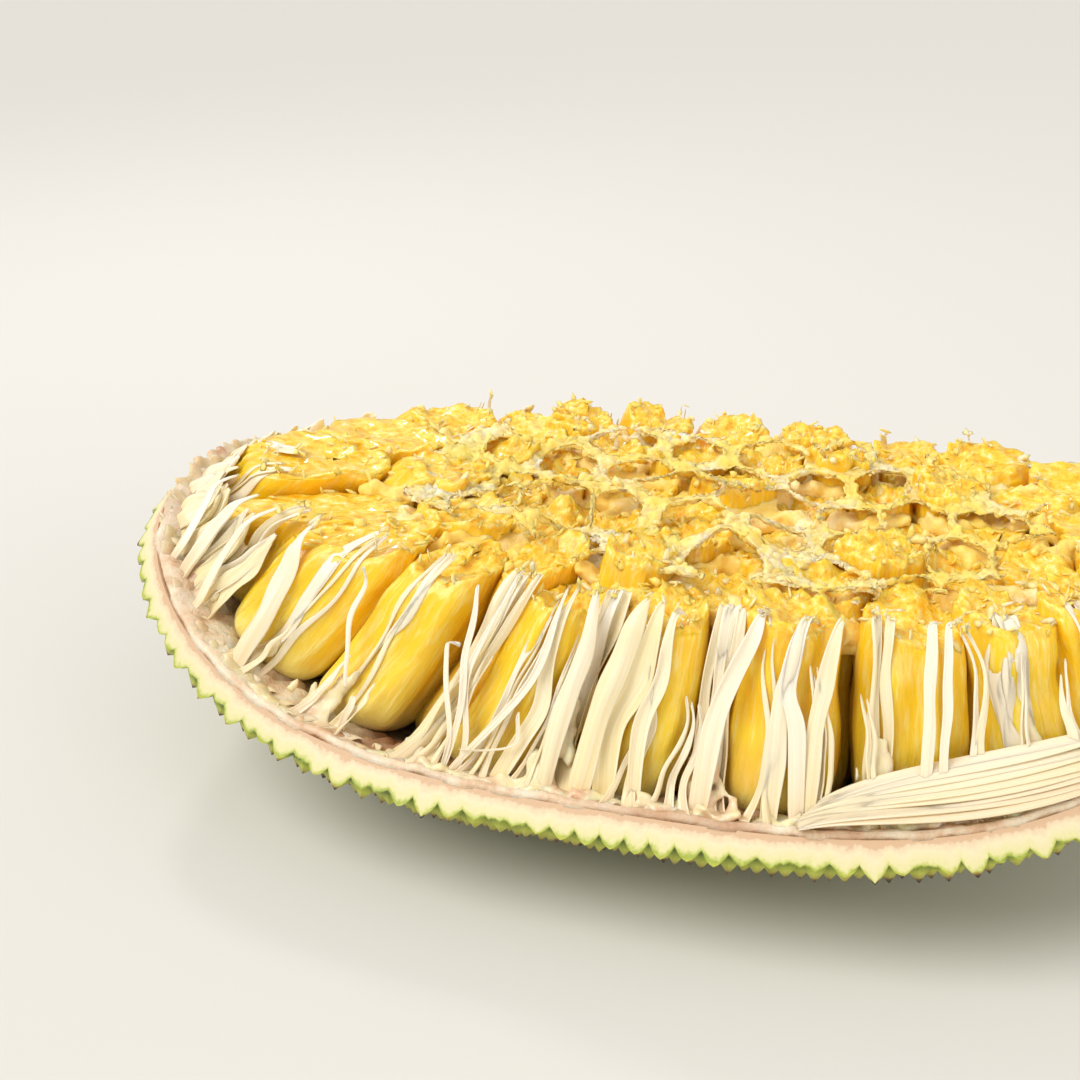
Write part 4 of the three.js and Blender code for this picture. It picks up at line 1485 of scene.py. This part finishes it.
# %% Root cushions
cushion_spots, cushion_heights, cushion_sizes = [], [], []
for here, after in zip(ring, np.roll(ring, -1, axis=0)):
    spot = (here[:2] + after[:2]) / 2
    spot = spot * 0.985 / place(*spot, *BULB_ROOM)[0]
    outward = direction_out(spot)
    along_ring = np.array([-outward[1], outward[0]])
    climb = random_crumb.uniform(12, 30) * (0.6 if spot[0] < LEFT_END else 1)
    for height in np.arange(0, climb, 2.4):
        left = 1 - height / climb
        for _ in range(3):
            beside = random_crumb.normal(0, 1.2 + 3.2 * left)
            cushion_spots.append(spot + along_ring * beside + outward * (1 + 2.5 * left**2))
            cushion_heights.append(height)
            cushion_sizes.append([1.0 + 1.7 * left, 1.0 + 1.3 * left, 3.4])
for turn_here in np.arange(0, 1, 0.0028):
    spot = np.array(on_outline(turn_here, 1.0, *BULB_ROOM))
    outward = direction_out(spot)
    for _ in range(3):
        low_here = 0.3 if spot[0] < LEFT_END else 1
        cushion_spots.append(spot + outward * min(random_crumb.normal(2.6, 2.2), 5.5))
        cushion_heights.append(random_crumb.gamma(1.6, 0.9) * low_here - 0.9)
        cushion_sizes.append(random_crumb.uniform([2.4, 2.0, 1.0], [4.2, 3.8, 1.9]))
cushion_spots = np.array(cushion_spots)
cushion_heights = np.array(cushion_heights)
foot_of = risen(cushion_spots[:, 0], cushion_spots[:, 1], cushion_heights)
lean = risen(cushion_spots[:, 0], cushion_spots[:, 1], cushion_heights + 1.0) - foot_of
cushions = strew("root_cushions", foot_of, np.array(cushion_sizes), lean)
apply_modifier(cushions, "REMESH", mode="VOXEL", voxel_size=1.1 * MM)
skin = points_of(cushions)
rough = 0.8 * lumps(skin * [1, 1, 0.5], 3.2, 3, 9)
move_points(cushions, skin + normals_of(cushions) * rough[:, None])
apply_modifier(cushions, "SMOOTH", factor=0.5, iterations=9)
shade_smooth(cushions)
finish_piece(cushions, rag_root, "rag")

# %% [markdown]
# ## Colour of the core pulp
# The core is paler and drier than the flesh: cream shreds, with yellow where juice has soaked in.
# One material serves the web, the pulp and the crumbs, since they are all torn from the core.

# %% Pulp material
# Torn pulp is rough, so it has only a weak sheen, but light still passes through its thin edges.
core_pulp, shader = new_material(
    "torn_core_pulp",
    Roughness=0.45,
    IOR=1.4,
    Subsurface_Weight=0.5,
    Coat_Weight=0.2,
    Coat_Roughness=0.25,
)
shader.inputs["Subsurface Radius"].default_value = (0.006, 0.004, 0.002)
shader.inputs["Subsurface Scale"].default_value = 0.6
coordinates = add_node(core_pulp, "TexCoord").outputs["Object"]
shreds = add_node(
    core_pulp,
    "TexNoise",
    {"Vector": coordinates, "Scale": once_in(4.35), "Detail": 5, "Roughness": 0.7},
).outputs["Fac"]
stain = add_node(
    core_pulp, "TexNoise", {"Vector": coordinates, "Scale": once_in(25), "Detail": 3}
).outputs["Fac"]
pulp_colour = add_node(
    core_pulp,
    "ValToRGB",
    {"Fac": shreds},
    stops=[(0.3, "#d9a95a"), (0.66, "#fdf6e2"), (0.4, "#eccb86"), (0.5, "#f7e6b8")],
).outputs["Color"]
stained = add_node(
    core_pulp, "MapRange", {"Value": stain, "From Min": 0.3, "From Max": 0.56, "To Max": 0.85}
).outputs[0]
pulp_mix = add_node(
    core_pulp, "Mix", {0: stained, 6: pulp_colour, 7: linear("#fbd455")}, data_type="RGBA"
).outputs[2]
connect(core_pulp, pulp_mix, shader.inputs["Base Color"])
pulp_bump = add_node(core_pulp, "Bump", {"Height": shreds, "Strength": 0.7, "Distance": 0.001})
connect(core_pulp, pulp_bump.outputs[0], shader.inputs["Normal"])

# %% [markdown]
# ## Torn web of core
# The knife left a thin web of core across the tops. It could be built from strands, but they would
# have to be joined at every knot. Instead a copy of the plain web is remeshed into small even
# cells, its points are pushed in and out by two sizes of noise, and most of it is sunk between the
# bulbs, so that only some patches stay up as torn flaps.

# %% Web
lace = add_object("core_web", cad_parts["core_lace"].data.copy())
edit(lace, (bpy.ops.mesh.remove_doubles, {"threshold": 1e-5}))
apply_modifier(lace, "REMESH", mode="VOXEL", voxel_size=1.0 * MM)
web = points_of(lace)
web_normals = normals_of(lace)
tear = 1.7 * lumps(web, 6, 3, 4) + 0.9 * lumps(web, 2.2, 2, 5) - 1.5
web = web + web_normals * tear[:, None]
# It sinks by up to 7.5 mm, and by 1.5 mm where it stays up.
web[:, 2] -= 7.5 - 6 * smooth_step(0.05, 0.45, lumps(web * [1, 1, 0], 42, 1, 6))
move_points(lace, web)
shade_smooth(lace)
finish_piece(lace, core_pulp, "core", "core_lace")

# %% [markdown]
# ## Pulp between the bulbs
# Under the web the gaps between the bulbs are filled with soft torn pulp. Left empty they would be
# black holes. Spots are tried at random, and those that lie in a gap get a lump of pulp. A remesh
# melts the lumps into one skin, like the cushions.

# %% Pulp
PULP_TRIES = 9000
tries = random_crumb.uniform(-1, 1, (PULP_TRIES, 2)) * BULB_ROOM
nearest = np.hypot(tries[:, :1] - middles[:, 0], tries[:, 1:] - middles[:, 1]) / middles[:, 2]
in_gap = (nearest.min(axis=1) > 0.82) & (place(tries[:, 0], tries[:, 1], *BULB_ROOM)[0] < 0.84)
pulp_uv = tries[in_gap]
pulp_share = random_crumb.uniform(0.74, 0.91, len(pulp_uv))
pulp_spots = standing(pulp_uv[:, 0], pulp_uv[:, 1], pulp_share)
pulp_sizes = random_crumb.uniform(1.6, 3.6, (len(pulp_uv), 3))
pulp = strew("core_pulp", pulp_spots, pulp_sizes, random_crumb.normal(size=(len(pulp_uv), 3)))
apply_modifier(pulp, "REMESH", mode="VOXEL", voxel_size=1.5 * MM)
skin = points_of(pulp)
rough = 1.3 * lumps(skin, 5, 3, 12)
move_points(pulp, skin + normals_of(pulp) * rough[:, None])
apply_modifier(pulp, "SMOOTH", factor=0.5, iterations=2)
shade_smooth(pulp)
finish_piece(pulp, core_pulp, "core")

# %% [markdown]
# ## Crumbs and frayed edges
# Slicing the core away left crumbs on the tops, and short shreds that stand up from the torn ends
# and from the ends of the strands. Noise alone can't make a free-standing shred, so both are
# strewn as small lumps: round ones for the crumbs, and long flat ones for the shreds.

# %% Crumbs
CRUMBS = 600
# Every fourth point of the web that faces up may carry a crumb, like the torn ends of the bulbs.
tops = np.concatenate(bulb_tops + [web[web_normals[:, 2] > 0.3][::4]])
chosen = tops[random_crumb.integers(0, len(tops), CRUMBS)]
crumb_spots = chosen + random_crumb.normal(0, 1.0, (CRUMBS, 3)) * [1, 1, 0.4]
crumb_sizes = random_crumb.gamma(3.0, 0.25, (CRUMBS, 1)).clip(0.35, 1.7)
crumb_sizes = crumb_sizes * random_crumb.uniform(0.6, 1.5, (CRUMBS, 3))
core_crumbs = strew(
    "core_crumbs", crumb_spots, crumb_sizes, random_crumb.normal(size=(CRUMBS, 3))
)

# %% [markdown]
# The shreds are long, thin and flat, and lean every way but mostly sideways. They could be curves,
# but a stretched lump has a torn look of its own and needs only twenty faces.

# %% Frayed edges
FRAYS = 900
# The strands' ends have few points, so each is counted nine times.
rims = np.concatenate(bulb_tops + [np.repeat(ends, 9, axis=0) for ends in strand_ends])
fray_spots = rims[random_crumb.integers(0, len(rims), FRAYS)] + [0, 0, 0.4]
fray_sizes = np.stack(
    [
        random_crumb.uniform(0.5, 1.3, FRAYS),
        random_crumb.uniform(0.2, 0.45, FRAYS),
        random_crumb.uniform(1.2, 3.4, FRAYS),
    ],
    axis=-1,
)
fray_lean = random_crumb.normal(0, 0.9, (FRAYS, 3)) + [0, 0, 0.25]
frays = strew("frayed_edges", fray_spots, fray_sizes, fray_lean)
for strewn in (core_crumbs, frays):
    shade_smooth(strewn)
    finish_piece(strewn, core_pulp, "core")
for template, _, _ in (long_form, short_form):
    bpy.data.objects.remove(template)
